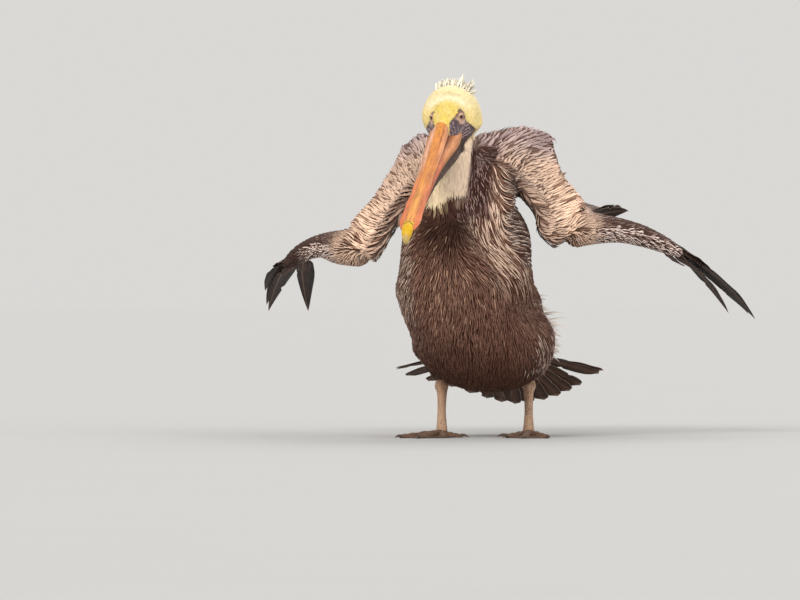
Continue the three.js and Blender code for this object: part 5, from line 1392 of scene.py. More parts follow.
def flight_material(name, sheen=0.2, roughness=0.55, pale_edge=0.0, shaft=0.7, edge=(0.52, 0.38, 0.31)):
    g = G(name, roughness, sheen, 0.0, 0.22)
    x, y, r = g.xyz(g.attr("fv", "Vector"))
    ax = g.math("ABSOLUTE", x)
    n1 = g.noise(g.obj(), 180.0, 4.0, 0.6)
    n2 = g.noise(g.obj(), 38.0, 2.0, 0.5)
    f = g.ramp(g.math("ADD", ax, g.math("MULTIPLY", g.math("SUBTRACT", n1, 0.5), 0.5)), 0.95, 0.15)
    col = g.mix(f, g.attr("dark"), g.attr("tone"))
    col = g.mix(g.math("MULTIPLY", g.ramp(n2, 0.45, 0.7), 0.5), col, g.attr("dark"))
    if pale_edge:
        e = g.math("MAXIMUM", g.ramp(g.math("ADD", ax, g.math("MULTIPLY", n1, 0.1)), 0.88, 1.0), g.ramp(y, 0.94, 1.0))
        col = g.mix(g.math("MULTIPLY", e, pale_edge), col, edge)
    line = g.math("SINE", g.math("ADD", g.math("MULTIPLY", y, 820.0), g.math("MULTIPLY", ax, -95.0)))
    line = g.math("MULTIPLY", g.math("ADD", line, 1.0), 0.5)
    coarse = g.math("SINE", g.math("ADD", g.math("MULTIPLY", y, 210.0), g.math("ADD", g.math("MULTIPLY", ax, -26.0), g.math("MULTIPLY", n1, 7.0))))
    coarse = g.ramp(coarse, 0.55, 1.0)
    col = g.mix(g.math("MULTIPLY", line, 0.25), col, g.attr("dark"))
    col = g.mix(g.math("MULTIPLY", coarse, 0.3), col, g.attr("tone"))
    s = g.ramp(ax, 0.085, 0.04)
    col = g.mix(g.math("MULTIPLY", s, shaft), col, (0.42, 0.27, 0.19))
    h = g.math("ADD", g.math("MULTIPLY", line, 0.6), g.math("ADD", coarse, g.math("MULTIPLY", n1, 0.6)))
    return g.done(col, g.bump(h, 0.45, 0.0005), g.math("ADD", g.math("MULTIPLY", n1, 0.25), roughness - 0.12))


M_PRIM = flight_material("flight_dark", 0.0, 0.55, 0.35, 0.45, (0.13, 0.060, 0.040))
M_SEC = flight_material("flight_silver", 0.0, 0.65, 0.55, 0.5)
M_TAIL = flight_material("flight_tail", 0.0, 0.65, 0.60, 0.30, (0.50, 0.36, 0.29))
M_COVERT = flight_material("coverts", 0.0, 0.72, 0.7, 0.4)

PRIM, PRIM_D = A(0.045, 0.019, 0.012), A(0.012, 0.0045, 0.003)
SECO, SECO_D = A(0.27, 0.185, 0.150), A(0.075, 0.038, 0.026)
TAILC, TAIL_D = A(0.110, 0.055, 0.034), A(0.030, 0.012, 0.007)
GAPW = 0.35

for name, S in SIDES.items():
    g, T = S["sign"], {k: np.array(v, float) for k, v in S["tips"].items()}
    hand, trail, lead = [np.array(S[k], float) for k in ("hand", "trail", "lead")]
    root_of = lambda i: spline(hand, 0.2 + 0.8 * (i - 1) / 9)[0]
    tip_of = lambda i: T[f"p{int(i)}"] if i > 6 else mix(T["p1"], T["p6"], (i - 1) / 5)
    specs, covs = [], []
    for i in range(1, 11):
        rt, tp = root_of(i), tip_of(i)
        d = norm(tp - rt)
        inner = along(d, T["p1"] - T["p10"])
        n = norm(np.cross(d, inner))
        n = n if n[2] > 0 else -n
        if i <= 6:
            over = along(d, T["p6"] - T["p1"])
            n = norm(np.cross(d, over))
            n = n if n @ A(0, -0.2, 1) > 0 else -n
        roll = norm(norm(inner) - n * 0.16)
        w = ((33 if i > 8 else 20) if g > 0 else 29) if i > 6 else 34
        # the outer four end in points; on the bird's right the seventh hangs apart
        point = dict(blunt=0.62, taper=(1.6, 0.9)) if g > 0 else dict(blunt=0.42, taper=(1.25, 0.75))
        point = point if i > 6 else dict(blunt=0.86, taper=(2.2, 0.5))
        narrow = 0.48 if g > 0 and i in (7, 8) else 0.30 if i > 6 else 0.36
        specs.append(dict(root=rt + n * (0.5 * i - 3), tip=tp, side=roll, dorsal=n, wl=w * narrow, wr=w * (1 - narrow) * 0.98,
                          bow=9 if i > 6 else 12, base=0.16, rows=26, splits=1, thick=0.8,
                          tone=PRIM * (1.0 if i > 5 else 1.35), dark=PRIM_D, sweep=-3.0, **point))
        # greater primary coverts, above and below
        for lift, frac, up in ((5.5, 0.40, 1), (-5.0, 0.34, -1)):
            rc = rt - d * 4 + n * lift * 0.7
            tc = rt + (tp - rt) * min(frac, 82 / np.linalg.norm(tp - rt)) + n * (lift + 5)
            covs.append(dict(root=rc, tip=tc, side=roll, dorsal=n * up, wl=8.5, wr=10.5, bow=4, blunt=0.72, base=0.08, rows=12, splits=2, thick=0.6,
                             tone=A(0.120, 0.065, 0.050), dark=A(0.030, 0.012, 0.008)))
    quill_piece(f"primaries_{name}", specs, M_PRIM, (f"wing_{name}_primaries",))
    quill_piece(f"primary_coverts_{name}", covs, M_COVERT)
    # secondaries and tertials
    under = A(0, 4, -9)
    root_line = np.array([trail[6] + A(0, 6, -16), trail[5] + A(0, 4, -12), trail[4] + under, trail[3] + under, trail[2] + under, mix(trail[2], trail[1], 0.8)])
    tip_line = np.array([T["s1"], mix(T["s1"], T["s8"], 0.55), T["s8"], mix(T["s8"], T["s14"], 0.6), T["s14"], T["t5"]])
    specs, covs = [], []
    count = 20
    for i in range(count):
        u = (i + 0.5) / count
        rt, tp = spline(root_line, u)[0], spline(tip_line, u)[0]
        e = 0.03
        over = spline(tip_line, min(1, u + e))[0] - spline(tip_line, max(0, u - e))[0] + spline(root_line, min(1, u + e))[0] - spline(root_line, max(0, u - e))[0]
        d = norm(tp - rt)
        o = norm(along(d, over))
        n = norm(np.cross(d, o))
        n = n if n[2] > 0 else -n
        step = np.linalg.norm(spline(tip_line, min(1, u + 0.5 / count))[0] - spline(tip_line, max(0, u - 0.5 / count))[0])
        w = max(26, min(44, step * 1.9))
        tert = smoothstep(0.6, 0.8, u)
        # the feathers nearest the wrist are rolled to show their broad dark vanes
        lead_w = smoothstep(0.16, 0.02, u)
        specs.append(dict(root=rt, tip=tp, side=norm(o * (1 - 0.65 * lead_w) - n * (0.15 + 0.75 * lead_w)), dorsal=n if lead_w < 0.3 else n + o, wl=w * 0.42, wr=w * 0.5, bow=9,
                          blunt=mix(0.84, 0.55, lead_w), base=0.12, rows=22, splits=3, taper=(2.2, mix(0.5, 0.8, lead_w)),
                          tone=mix(mix(SECO * 0.75, SECO * 1.15, tert), PRIM, lead_w), dark=mix(SECO_D, PRIM_D, lead_w)))
    quill_piece(f"secondaries_{name}", specs, M_SEC, (f"wing_{name}_secondaries",))
    for layer, (cnt, frac, ln, lift, side_up) in enumerate(((22, 0.34, 92, 7.0, 1), (26, 0.16, 60, 13.0, 1), (20, 0.30, 78, -6.0, -1), (24, 0.14, 52, -11.0, -1))):
        for i in range(cnt):
            u = (i + 0.5) / cnt
            rt, tp = spline(root_line, u)[0], spline(tip_line, u)[0]
            d = norm(tp - rt)
            over = spline(root_line, min(1, u + 0.03))[0] - spline(root_line, max(0, u - 0.03))[0]
            o = norm(along(d, over))
            n = norm(np.cross(d, o))
            n = n if n[2] > 0 else -n
            back_off = -12 if layer in (0, 2) else -20
            rc = rt + d * back_off + n * lift * 1.1
            tc = rt + d * min(ln, 0.55 * np.linalg.norm(tp - rt) + 20) + n * (lift * 0.55 + 3.0 * side_up)
            w = np.linalg.norm(root_line[0] - root_line[-1]) / cnt * 1.5
            tone = mix(A(0.36, 0.25, 0.20), A(0.47, 0.33, 0.27), layer in (1, 3)) * (0.85 + 0.3 * hashed(np.array([[i, layer, 1.0]]))[0])
            covs.append(dict(root=rc, tip=tc, side=norm(o - n * 0.14), dorsal=n * side_up, wl=max(9, w * 0.5), wr=max(9, w * 0.55), bow=4, blunt=0.70, base=0.06, rows=11, splits=2, thick=0.6,
                             tone=tone, dark=A(0.085, 0.045, 0.032)))
    quill_piece(f"secondary_coverts_{name}", covs, M_COVERT)

# tail
TAIL_TIPS = A([-132, 205, 103], [-122, 246, 92], [-54, 276, 74], [4, 286, 55], [54, 286, 45], [112, 268, 56], [156, 242, 78], [186, 206, 99])
TAIL_ROOTS = A([2, 120, 124], [8, 126, 122], [16, 130, 120], [24, 132, 119], [32, 132, 118], [40, 130, 118], [48, 126, 119], [54, 120, 121])
specs, covs = [], []
# broad blunt feathers; the outermost two of each side stand apart
TAIL_AT = [0.0, 0.045, 0.16, 0.23, 0.30, 0.37, 0.44, 0.505, 0.565, 0.62, 0.675, 0.73, 0.785, 0.84, 0.955, 1.0]
for i, v in enumerate(TAIL_AT):
    u = i / (len(TAIL_AT) - 1)
    rt, tp = spline(TAIL_ROOTS, u)[0] + A(0, -4, 1.5), spline(TAIL_TIPS, v)[0]
    d = norm(tp - rt)
    over = spline(TAIL_TIPS, min(1, v + 0.02))[0] - spline(TAIL_TIPS, max(0, v - 0.02))[0]
    o = norm(along(d, over))
    n = norm(np.cross(d, o))
    n = n if n[2] > 0 else -n
    g = -1 if u < 0.5 else 1
    mid = 1 - abs(2 * u - 1)
    specs.append(dict(root=rt + n * 3 * mid, tip=tp + n * (1.6 * mid), side=norm(o * g - n * 0.14), dorsal=n, wl=17.5 - 7.5 * (i == 15) - 6.0 * (i < 2), wr=14.5 - 6.5 * (i == 15) - 5.0 * (i < 2), bow=4, blunt=0.88, base=0.12, rows=22, splits=2,
                      tone=TAILC * (0.85 + 0.4 * hashed(np.array([[i, 2.0, 2.0]]))[0]), dark=TAIL_D))
quill_piece("tail_feathers", specs, M_TAIL, ("tail",))
for layer, (cnt, ln, lift, su) in enumerate(((15, 62, 6.5, 1), (17, 44, 10.5, 1), (15, 58, -6.0, -1), (17, 40, -10.0, -1))):
    for i in range(cnt):
        u = (i + 0.5) / cnt
        rt, tp = spline(TAIL_ROOTS, u)[0], spline(TAIL_TIPS, u)[0]
        d = norm(tp - rt)
        o = norm(along(d, A(1, 0, 0)))
        n = norm(np.cross(d, o))
        n = n if n[2] > 0 else -n
        rc = rt - d * 26 + n * lift
        tc = rt + d * ln * (0.9 + 0.2 * hashed(np.array([[i, layer, 4.0]]))[0]) + n * lift * 0.75
        covs.append(dict(root=rc, tip=tc, side=norm(o - n * 0.1), dorsal=n * su, wl=8, wr=8, bow=3, blunt=0.66, base=0.05, rows=10, splits=1, thick=0.6,
                         tone=mix(BACK, TAILC, 0.4) if su > 0 else DEEP * 1.2, dark=BACK_D * 0.9))
quill_piece("tail_coverts", covs, M_COVERT)

# ------------------------------------------------------------------ crest
CREST = [(-73.0, 533.5), (-69.8, 536.0), (-66.0, 537.0), (-62.5, 538.6), (-58.6, 539.6), (-54.8, 540.6), (-51.0, 541.6), (-47.4, 541.6), (-43.6, 540.4), (-39.8, 539.4), (-36.0, 539.0), (-31.2, 547.0), (-27.6, 536), (-24.2, 535), (-20.6, 534), (-15.3, 540), (-13.5, 529), (-11.0, 522)]


def crest(name, seed):
    r = np.random.default_rng(seed)
    P0, P1, W = [], [], []
    for k, (x, z) in enumerate(CREST):
        tall = k in (11, 15)
        sp = (x + 46) * (0.72 if x < -46 else 0.92)
        for j in range(15 if tall else 9):
            a, s = r.uniform(-26, -10), sp + r.normal() * (2.3 if tall else 1.7)
            base = at(a, 32, s)
            reach = r.uniform(0.0, 1.0) ** 1.3 * (8.0 if tall else 5.0)
            tip = A(x + r.normal() * 0.35 + (s - sp) * 0.12 * reach, -32 + r.normal() * 4, z - reach)
            P0.append(base); P1.append(tip); W.append(r.uniform(2.8, 4.2))
    # the short mane that runs on down the nape
    for j in range(150):
        f = 0.22 + 0.78 * r.random()
        a, upv, s = mix(-26, -47, f), mix(36, -4, f ** 1.3), r.normal() * 6 * (1 - 0.4 * f)
        base = at(a, upv, s)
        P0.append(base)
        P1.append(base + norm(-HEAD_AXIS * (0.55 + 0.4 * f) + HEAD_UP * (0.75 - 0.9 * f) + HEAD_SIDE * r.normal() * 0.16) * r.uniform(11, 18))
        W.append(r.uniform(1.8, 2.8))
    P0, P1, W = np.array(P0), np.array(P1), np.array(W)
    q, f = on_skin(P0)
    d = fields(q, f)
    n = len(q)
    ts = A(0, 0.3, 0.6, 0.85, 1)
    C = q[:, None] - d["n"][:, None] * 1.0 + (P1 - q)[:, None] * ts[None, :, None] + d["n"][:, None] * (2.2 * ts * (1 - ts))[None, :, None]
    tang = norm(np.gradient(C, axis=1))
    sd = norm(np.cross(np.broadcast_to(HEAD_AXIS + r.normal(size=(n, 3)) * 0.5, (n, 3))[:, None], tang))
    up = norm(np.cross(tang, sd))
    Wk = W[:, None] * 0.5 * SPIKE(ts)
    tone = np.tile(A(0.97, 0.90, 0.74), (n, 1)) * r.uniform(0.95, 1.03, (n, 1))
    dark = np.tile(A(0.95, 0.87, 0.68), (n, 1))
    return feather_mesh(name, C, sd, up, Wk, np.broadcast_to(0.22 * (1.1 - 0.6 * ts), (n, 5)), 0.25, FACE_UV[f], r.random(n), tone, dark, M_HEAD, ts=ts, under=np.broadcast_to(norm(A(-0.2, -0.9, 0.5)), up.shape), soften=0.6)


crest("crest", 71)

# ------------------------------------------------------------------ bill
UPPER = [[-20, 6, 2, -7], [-8, 7, 10, -7], [0, 9.3, 16.8, -6.5], [4, 10.6, 17.4, -6.2], [20, 12.2, 13.5, -5], [60, 12.4, 9.5, -3.5], [120, 12, 6.5, -3], [180, 12.5, 5.5, -3], [230, 14.5, 5, -3.2], [258, 14.5, 4.5, -3.5], [274, 11, 4, -4]]
LOWER = [[-20, 24, -4, -28], [2, 24.5, -3.5, -26], [24, 23, -2.5, -23], [60, 19, -1, -19], [120, 14.5, -0.5, -13], [180, 13, -0.5, -10], [230, 12, -0.8, -9], [262, 8, -1.5, -8]]
POUCH = [[-24, 24, -20, -52], [10, 24, -19, -50], [50, 17.5, -16, -43], [110, 11.5, -10, -31], [170, 9, -8, -21], [222, 4.5, -7.5, -12.5]]
NAIL = [[262, 8, 6.5, -2], [274, 8.5, 6.3, -6], [284, 7, 4.5, -12], [291, 4, -2, -17]]


def bill_part(rows, sections, sides, power):
    s = spline(rows, np.linspace(0, 1, sections + 1))
    q = 2 * math.pi * (np.arange(sides) + 0.5) / sides
    f = lambda x: np.sign(x) * np.abs(x) ** (2 / power)
    X = s[:, 1:2] * f(np.cos(q))
    Y = (s[:, 2:3] + s[:, 3:4]) / 2 + (s[:, 2:3] - s[:, 3:4]) / 2 * f(np.sin(q))
    Tt = np.broadcast_to(s[:, :1], X.shape).copy()
    return Tt, Y, X, q, s


def bill_mesh(name, Tt, Y, X, col, material, node, cap=(2, 2), extra=None):
    ring = bill(Tt, Y, X)
    first = bill(Tt[0].mean() - cap[0], Y[0].mean(), X[0].mean())
    last = bill(Tt[-1].mean() + cap[1], Y[-1].mean(), X[-1].mean())
    v, q, t = capped(ring, first, last)
    c = np.concatenate([col.reshape(-1, 3), col[0].mean(0, keepdims=True), col[-1].mean(0, keepdims=True)])
    tx = np.concatenate([np.stack([Tt, Y, X], -1).reshape(-1, 3), [[Tt[0, 0], 0, 0], [Tt[-1, 0], 0, 0]]])
    ob = make_mesh(name, place(v), [q, t], material, colors={"tone": c}, attrs={"lay": tx / 1000})
    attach(ob, "root")
    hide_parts(*node)
    return ob


def horn_material(name, roughness=0.46, streak=0.52, flake=0.30, coat_w=0.05, dark=(0.20, 0.060, 0.025), pale=(0.84, 0.45, 0.19)):
    """Horn with long growth lines, worn pale scratches and small dark pits."""
    g = G(name, roughness, 0.0, coat_w, 0.3)
    g.out.inputs["Coat Roughness"].default_value = 0.3
    g.out.inputs["Subsurface Weight"].default_value = 0.06
    g.out.inputs["Subsurface Radius"].default_value = (0.004, 0.0015, 0.0008)
    v = g.attr("lay", "Vector")
    long = g.noise(g.stretch(v, (16, 260, 260)), 1.6, 5.0, 0.6, 0.3)
    fine = g.noise(g.stretch(v, (60, 900, 900)), 1.4, 4.0, 0.65)
    spot = g.noise(v, 170.0, 5.0, 0.7)
    cloud = g.noise(v, 34.0, 3.0, 0.55)
    col = g.attr("tone")
    col = g.mix(g.math("MULTIPLY", g.ramp(long, 0.48, 0.64), streak), col, dark)
    col = g.mix(g.math("MULTIPLY", g.ramp(fine, 0.50, 0.74), streak * 0.9), col, pale)
    col = g.mix(g.math("MULTIPLY", g.ramp(spot, 0.62, 0.74), flake), col, pale)
    col = g.mix(g.math("MULTIPLY", g.ramp(spot, 0.36, 0.26), flake), col, dark)
    hsv = g.t.nodes.new("ShaderNodeHueSaturation")
    g.put(hsv.inputs["Value"], g.math("ADD", g.math("MULTIPLY", cloud, 0.6), 0.70))
    g.put(hsv.inputs["Color"], col)
    h = g.math("ADD", g.math("MULTIPLY", fine, 0.7), g.math("ADD", long, g.math("MULTIPLY", spot, 0.5)))
    return g.done(hsv.outputs[0], g.bump(h, 0.4, 0.0006), g.math("ADD", g.math("MULTIPLY", spot, 0.35), roughness - 0.16))


M_BILL = horn_material("bill_horn")
M_NAIL = horn_material("nail_horn", 0.42, 0.25, 0.2, 0.05, (0.36, 0.17, 0.01), (0.80, 0.55, 0.05))

ORANGE, SALMON, PINK, YELL, GREYP = A(0.60, 0.215, 0.045), A(0.58, 0.200, 0.065), A(0.57, 0.140, 0.055), A(0.66, 0.320, 0.038), A(0.60, 0.41, 0.33)

Tt, Y, X, q, s = bill_part(UPPER, 200, 72, 2.4)
wn = X / s[:, 1:2]
top = np.clip((Y - (s[:, 2:3] + s[:, 3:4]) / 2) / ((s[:, 2:3] - s[:, 3:4]) / 2), -1, 1)
on_top = smoothstep(0.0, 0.5, top)
run = smoothstep(20, 70, Tt) * smoothstep(272, 250, Tt)
ridge = np.exp(-(wn / 0.30) ** 2) * on_top
groove = np.exp(-((np.abs(wn) - 0.50) / 0.10) ** 2) * on_top
tom = np.exp(-((np.abs(wn) - 0.93) / 0.08) ** 2) * smoothstep(0.6, 0.0, np.abs(top))
plates = 0.22 * np.sin(Tt * 0.42 + 1.5 * np.sin(Tt * 0.11) + 2.2 * wn) * on_top * smoothstep(40, 5, Tt)
Y = Y + 1.1 * ridge * run - 0.9 * groove * smoothstep(8, 50, Tt) + plates + 0.12 * np.sin(Tt * 0.9 + 3 * wn)
X = X * (1 + 0.02 * np.sin(Tt * 0.13)) + np.sign(X) * 0.8 * tom * run
P0 = np.stack([Tt, Y, X], -1).reshape(-1, 3)
nz = (0.5 + 0.5 * np.tanh(1.3 * wave_noise(P0 * A(0.35, 1, 1), 16, 21))).reshape(Tt.shape)
col = mix(ORANGE, YELL, (0.50 * nz * ridge)[..., None])
col = mix(col, SALMON * A(1.0, 1.05, 0.9), (smoothstep(40, 110, Tt) * (1 - 0.75 * ridge) * 0.7)[..., None])
# pale sides: a broad band on the bird's right, a narrow one on its left
pale_r = smoothstep(-0.30, -0.80, wn) * smoothstep(-2, 14, Tt) * smoothstep(150, 95, Tt)
pale_l = smoothstep(0.50, 0.85, wn) * smoothstep(0, 8, Tt) * smoothstep(110, 60, Tt)
col = mix(col, A(0.70, 0.43, 0.31), (0.85 * pale_r)[..., None])
col = mix(col, A(0.68, 0.31, 0.17), (0.75 * pale_l)[..., None])
col = mix(col, PINK, (smoothstep(120, 200, Tt) * smoothstep(0.40, 0.70, np.abs(wn)) * 0.9)[..., None])
col = mix(col, A(0.72, 0.33, 0.070), (smoothstep(120, 200, Tt) * ridge * 0.8)[..., None])
# painted shade along the groove beside the ridge: a dark line near the base, a darker band further out
line = np.exp(-((wn - 0.52) / 0.055) ** 2) * on_top * smoothstep(2, 10, Tt) * smoothstep(75, 40, Tt)
col = mix(col, A(0.16, 0.055, 0.030), (line * 0.85)[..., None])
col = mix(col, A(0.30, 0.085, 0.040), (groove * (0.25 + 0.35 * nz) * smoothstep(30, 90, Tt) * 0.8)[..., None])
col = mix(col, A(0.72, 0.40, 0.27), (tom * 0.5)[..., None])
bill_mesh("upper_mandible", Tt, Y, X, col, M_BILL, ("bill_upper",), (1, 2))

Tt, Y, X, q, s = bill_part(LOWER, 180, 64, 2.4)
wn = X / s[:, 1:2]
hn = (Y - s[:, 3:4]) / (s[:, 2:3] - s[:, 3:4])
shut = np.exp(-((hn - 1.0) / 0.07) ** 2)
gutter = np.exp(-((hn - 0.42) / 0.10) ** 2) * smoothstep(0.55, 0.95, np.abs(wn))
X = X - np.sign(X) * 0.8 * gutter * smoothstep(20, 60, Tt) + 2.2 * smoothstep(90, 10, Tt)
X = X + np.sign(X) * 0.15 * np.sin(Tt * 0.7 + 4 * hn)
P0 = np.stack([Tt, Y, X], -1).reshape(-1, 3)
nz = (0.5 + 0.5 * np.tanh(1.3 * wave_noise(P0 * A(0.35, 1, 1), 14, 22))).reshape(Tt.shape)
col = mix(A(0.53, 0.215, 0.085), A(0.60, 0.265, 0.115), nz[..., None])
col = mix(col, A(0.56, 0.135, 0.070), (smoothstep(36, 110, Tt) * 0.9)[..., None])
col = mix(col, PINK, (smoothstep(130, 220, Tt) * 0.8)[..., None])
# painted shade in the gutter along each side; the lower edge is darker too
col = mix(col, A(0.30, 0.075, 0.040), (gutter * 0.5 * smoothstep(40, 90, Tt) + 0.30 * smoothstep(0.12, 0.0, hn))[..., None])
# painted shade where the upper mandible closes on the lower one
col = mix(col, A(0.10, 0.035, 0.022), (shut * 0.8)[..., None])
col = mix(col, A(0.07, 0.04, 0.04), (smoothstep(0.20, 0.02, hn) * smoothstep(150, 60, Tt) * 0.9)[..., None])
bill_mesh("lower_mandible", Tt, Y, X, col, M_BILL, ("bill_lower",), (1, 2))

Tt, Y, X, q, s = bill_part(NAIL, 60, 48, 2.0)
wn = X / s[:, 1:2]
Y = Y + 0.6 * np.exp(-(wn / 0.35) ** 2)
col = mix(A(0.62, 0.36, 0.004), A(0.72, 0.45, 0.007), (0.5 + 0.5 * np.sin(Tt * 0.9 + 5 * wn ** 2))[..., None] * 0.6)
chev = np.exp(-((Tt - 263.8 - 6.5 * np.abs(wn) ** 1.2) / 1.5) ** 2) * smoothstep(-2, 0, Y)
col = mix(col, A(0.035, 0.026, 0.024), (0.95 * chev)[..., None])
col = mix(col, A(0.46, 0.37, 0.20), (smoothstep(286, 293, Tt) * 0.8)[..., None])
bill_mesh("nail", Tt, Y, X, col, M_NAIL, ("bill_nail",), (0.5, 2.4))


def pouch_material():
    g = G("pouch_skin", 0.62, 0.1, 0.0, 0.35)
    v = g.attr("lay", "Vector")
    fold = g.noise(g.stretch(v, (30, 260, 160)), 2.4, 5.0, 0.6, 0.5)
    cell = g.cells(v, 520.0)
    # painted shade: near black in the troughs of the folds, set by the same noise as their bump
    col = g.mix(g.ramp(fold, 0.35, 0.68), (0.030, 0.015, 0.012), g.attr("tone"))
    col = g.mix(g.math("MULTIPLY", g.ramp(cell, 0.12, 0.02), 0.4), col, (0.03, 0.018, 0.018))
    return g.done(col, g.bump(g.math("ADD", fold, g.math("MULTIPLY", g.ramp(cell, 0.0, 0.2), 0.4)), 0.6, 0.001), g.math("ADD", g.math("MULTIPLY", fold, 0.3), 0.45))


M_POUCH = pouch_material()
Tt, Y, X, q, s = bill_part(POUCH, 170, 72, 2.0)
hn = (Y - s[:, 3:4]) / (s[:, 2:3] - s[:, 3:4])
wr = np.sin(hn * 22 + 0.9 * np.sin(Tt * 0.06) + Tt * 0.035) * 0.55 + np.sin(hn * 41 - Tt * 0.05) * 0.2
X = X + np.sign(X) * wr * smoothstep(0, 0.25, np.abs(X) / s[:, 1:2]) * smoothstep(-20, 10, Tt)
nz = (0.5 + 0.5 * np.tanh(1.4 * wave_noise(np.stack([Tt, Y, X], -1).reshape(-1, 3), 13, 23))).reshape(Tt.shape)
col = mix(A(0.075, 0.032, 0.020), A(0.150, 0.066, 0.040), nz[..., None])
bill_mesh("gular_pouch", Tt, Y, X, col, M_POUCH, ("pouch",), (1, 2))

# ------------------------------------------------------------------ eyes
def eye_material():
    g = G("eye", 0.12, 0.0, 0.3, 0.3)
    g.out.inputs["Coat Roughness"].default_value = 0.02
    v = g.attr("gaze", "Vector")
    x, y, z = g.xyz(v)
    r = g.math("SQRT", g.math("ADD", g.math("MULTIPLY", x, x), g.math("MULTIPLY", y, y)))
    ang = g.math("ARCTAN2", y, x)
    spokes = g.noise(g.vec3(g.math("MULTIPLY", ang, 3.0), g.math("MULTIPLY", r, 2.0), 0.0), 3.0, 4.0, 0.6)
    col = g.mix(g.ramp(spokes, 0.3, 0.7), (0.26, 0.135, 0.080), (0.56, 0.34, 0.23))
    col = g.mix(g.ramp(r, 0.46, 0.38), col, (0.15, 0.062, 0.040))
    col = g.mix(g.ramp(r, 0.60, 0.70), col, (0.20, 0.095, 0.065))
    col = g.mix(g.ramp(r, 0.86, 0.94), col, (0.42, 0.25, 0.19))
    col = g.mix(g.ramp(r, 0.37, 0.33), col, (0.0015, 0.0008, 0.0006))
    return g.done(col, g.bump(spokes, 0.05, 0.0002))


G.vec3 = lambda self, x, y, z: self._vec3(x, y, z)


def _vec3(self, x, y, z):
    n = self.t.nodes.new("ShaderNodeCombineXYZ")
    for i, v in enumerate((x, y, z)):
        self.put(n.inputs[i], v)
    return n.outputs[0]


G._vec3 = _vec3
M_EYE = eye_material()
for key, g in (("left", 1), ("right", -1)):
    c = eye_at(g)
    gaze = norm(HEAD_SIDE * g * 0.56 + HEAD_AXIS * 0.78 + HEAD_UP * 0.14)
    e1 = norm(along(gaze, HEAD_UP))
    e2 = np.cross(gaze, e1)
    th = np.linspace(0.03, math.pi - 0.03, 40)
    ph = 2 * math.pi * np.arange(56) / 56
    # a cornea stands a little proud of the ball
    R0 = EYE_R * (1 + 0.05 * np.exp(-(th / 0.55) ** 2))
    ring = c + R0[:, None, None] * (np.cos(th)[:, None, None] * gaze + np.sin(th)[:, None, None] * (np.cos(ph)[None, :, None] * e1 + np.sin(ph)[None, :, None] * e2))
    v, qd, t = capped(ring, c + gaze * EYE_R * 1.05, c - gaze * EYE_R)
    local = (v - c) / EYE_R
    ob = make_mesh(f"eyeball_{key}", place(v), [qd, t], M_EYE, attrs={"gaze": np.stack([local @ e1, local @ e2, local @ gaze], -1)})
    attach(ob, "root")
    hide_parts(f"eye_{key}")

# ------------------------------------------------------------------ legs and feet
def leg_material(name, scale, rough=0.62, light=(0.60, 0.390, 0.260), dark=(0.11, 0.058, 0.036)):
    """Scaly skin: pale rounded plates with dark seams and dusty tops."""
    g = G(name, rough, 0.05, 0.0, 0.4)
    v = g.obj()
    edge = g.cells(v, scale)
    cell = g.cells(v, scale, "F1")
    n = g.noise(v, 130.0, 4.0, 0.6)
    big = g.noise(v, 26.0, 3.0, 0.5)
    col = g.mix(g.ramp(big, 0.3, 0.7), g.attr("tone"), light)
    col = g.mix(g.math("MULTIPLY", g.ramp(n, 0.55, 0.75), 0.5), col, tuple(min(1.0, c * 1.25) for c in light))
    col = g.mix(g.ramp(edge, 0.10, 0.015), col, dark)
    col = g.mix(g.math("MULTIPLY", g.ramp(n, 0.42, 0.28), 0.6), col, dark)
    h = g.math("ADD", g.ramp(edge, 0.0, 0.22), g.math("MULTIPLY", n, 0.4))
    return g.done(col, g.bump(h, 0.7, 0.0007), g.math("ADD", g.math("MULTIPLY", n, 0.3), rough - 0.14))


M_LEG = leg_material("leg_scales", 420.0)
M_FOOT = leg_material("foot_skin", 360.0, 0.6, (0.180, 0.098, 0.060), (0.030, 0.014, 0.009))
claw_g = G("claw_horn", 0.35, 0.0, 0.2, 0.5)
cv = claw_g.attr("lay", "Vector")
cn = claw_g.noise(claw_g.stretch(cv, (40, 500, 500)), 1.5, 4.0)
M_CLAW = claw_g.done(claw_g.mix(cn, (0.020, 0.012, 0.009), (0.13, 0.085, 0.06)), claw_g.bump(cn, 0.4, 0.0003), claw_g.math("ADD", claw_g.math("MULTIPLY", cn, 0.3), 0.22))


def plate_relief(u_mm, angle, pitch, radius):
    """Rounded plates in staggered rows round a shank."""
    n = max(6, round(2 * math.pi * radius / pitch))
    row = u_mm / (pitch * 0.86)
    k = np.floor(row)
    best = np.full(u_mm.shape, 9.0)
    for dk in (-1, 0, 1, 2):
        rr = k + dk
        sh = 0.5 * np.mod(rr, 2)
        aa = angle / (2 * math.pi) * n + sh
        da = (aa - np.round(aa)) * pitch
        best = np.minimum(best, np.hypot(da, (row - rr) * pitch * 0.86))
    return np.clip(1 - (best / (pitch * 0.56)) ** 2, 0, 1)


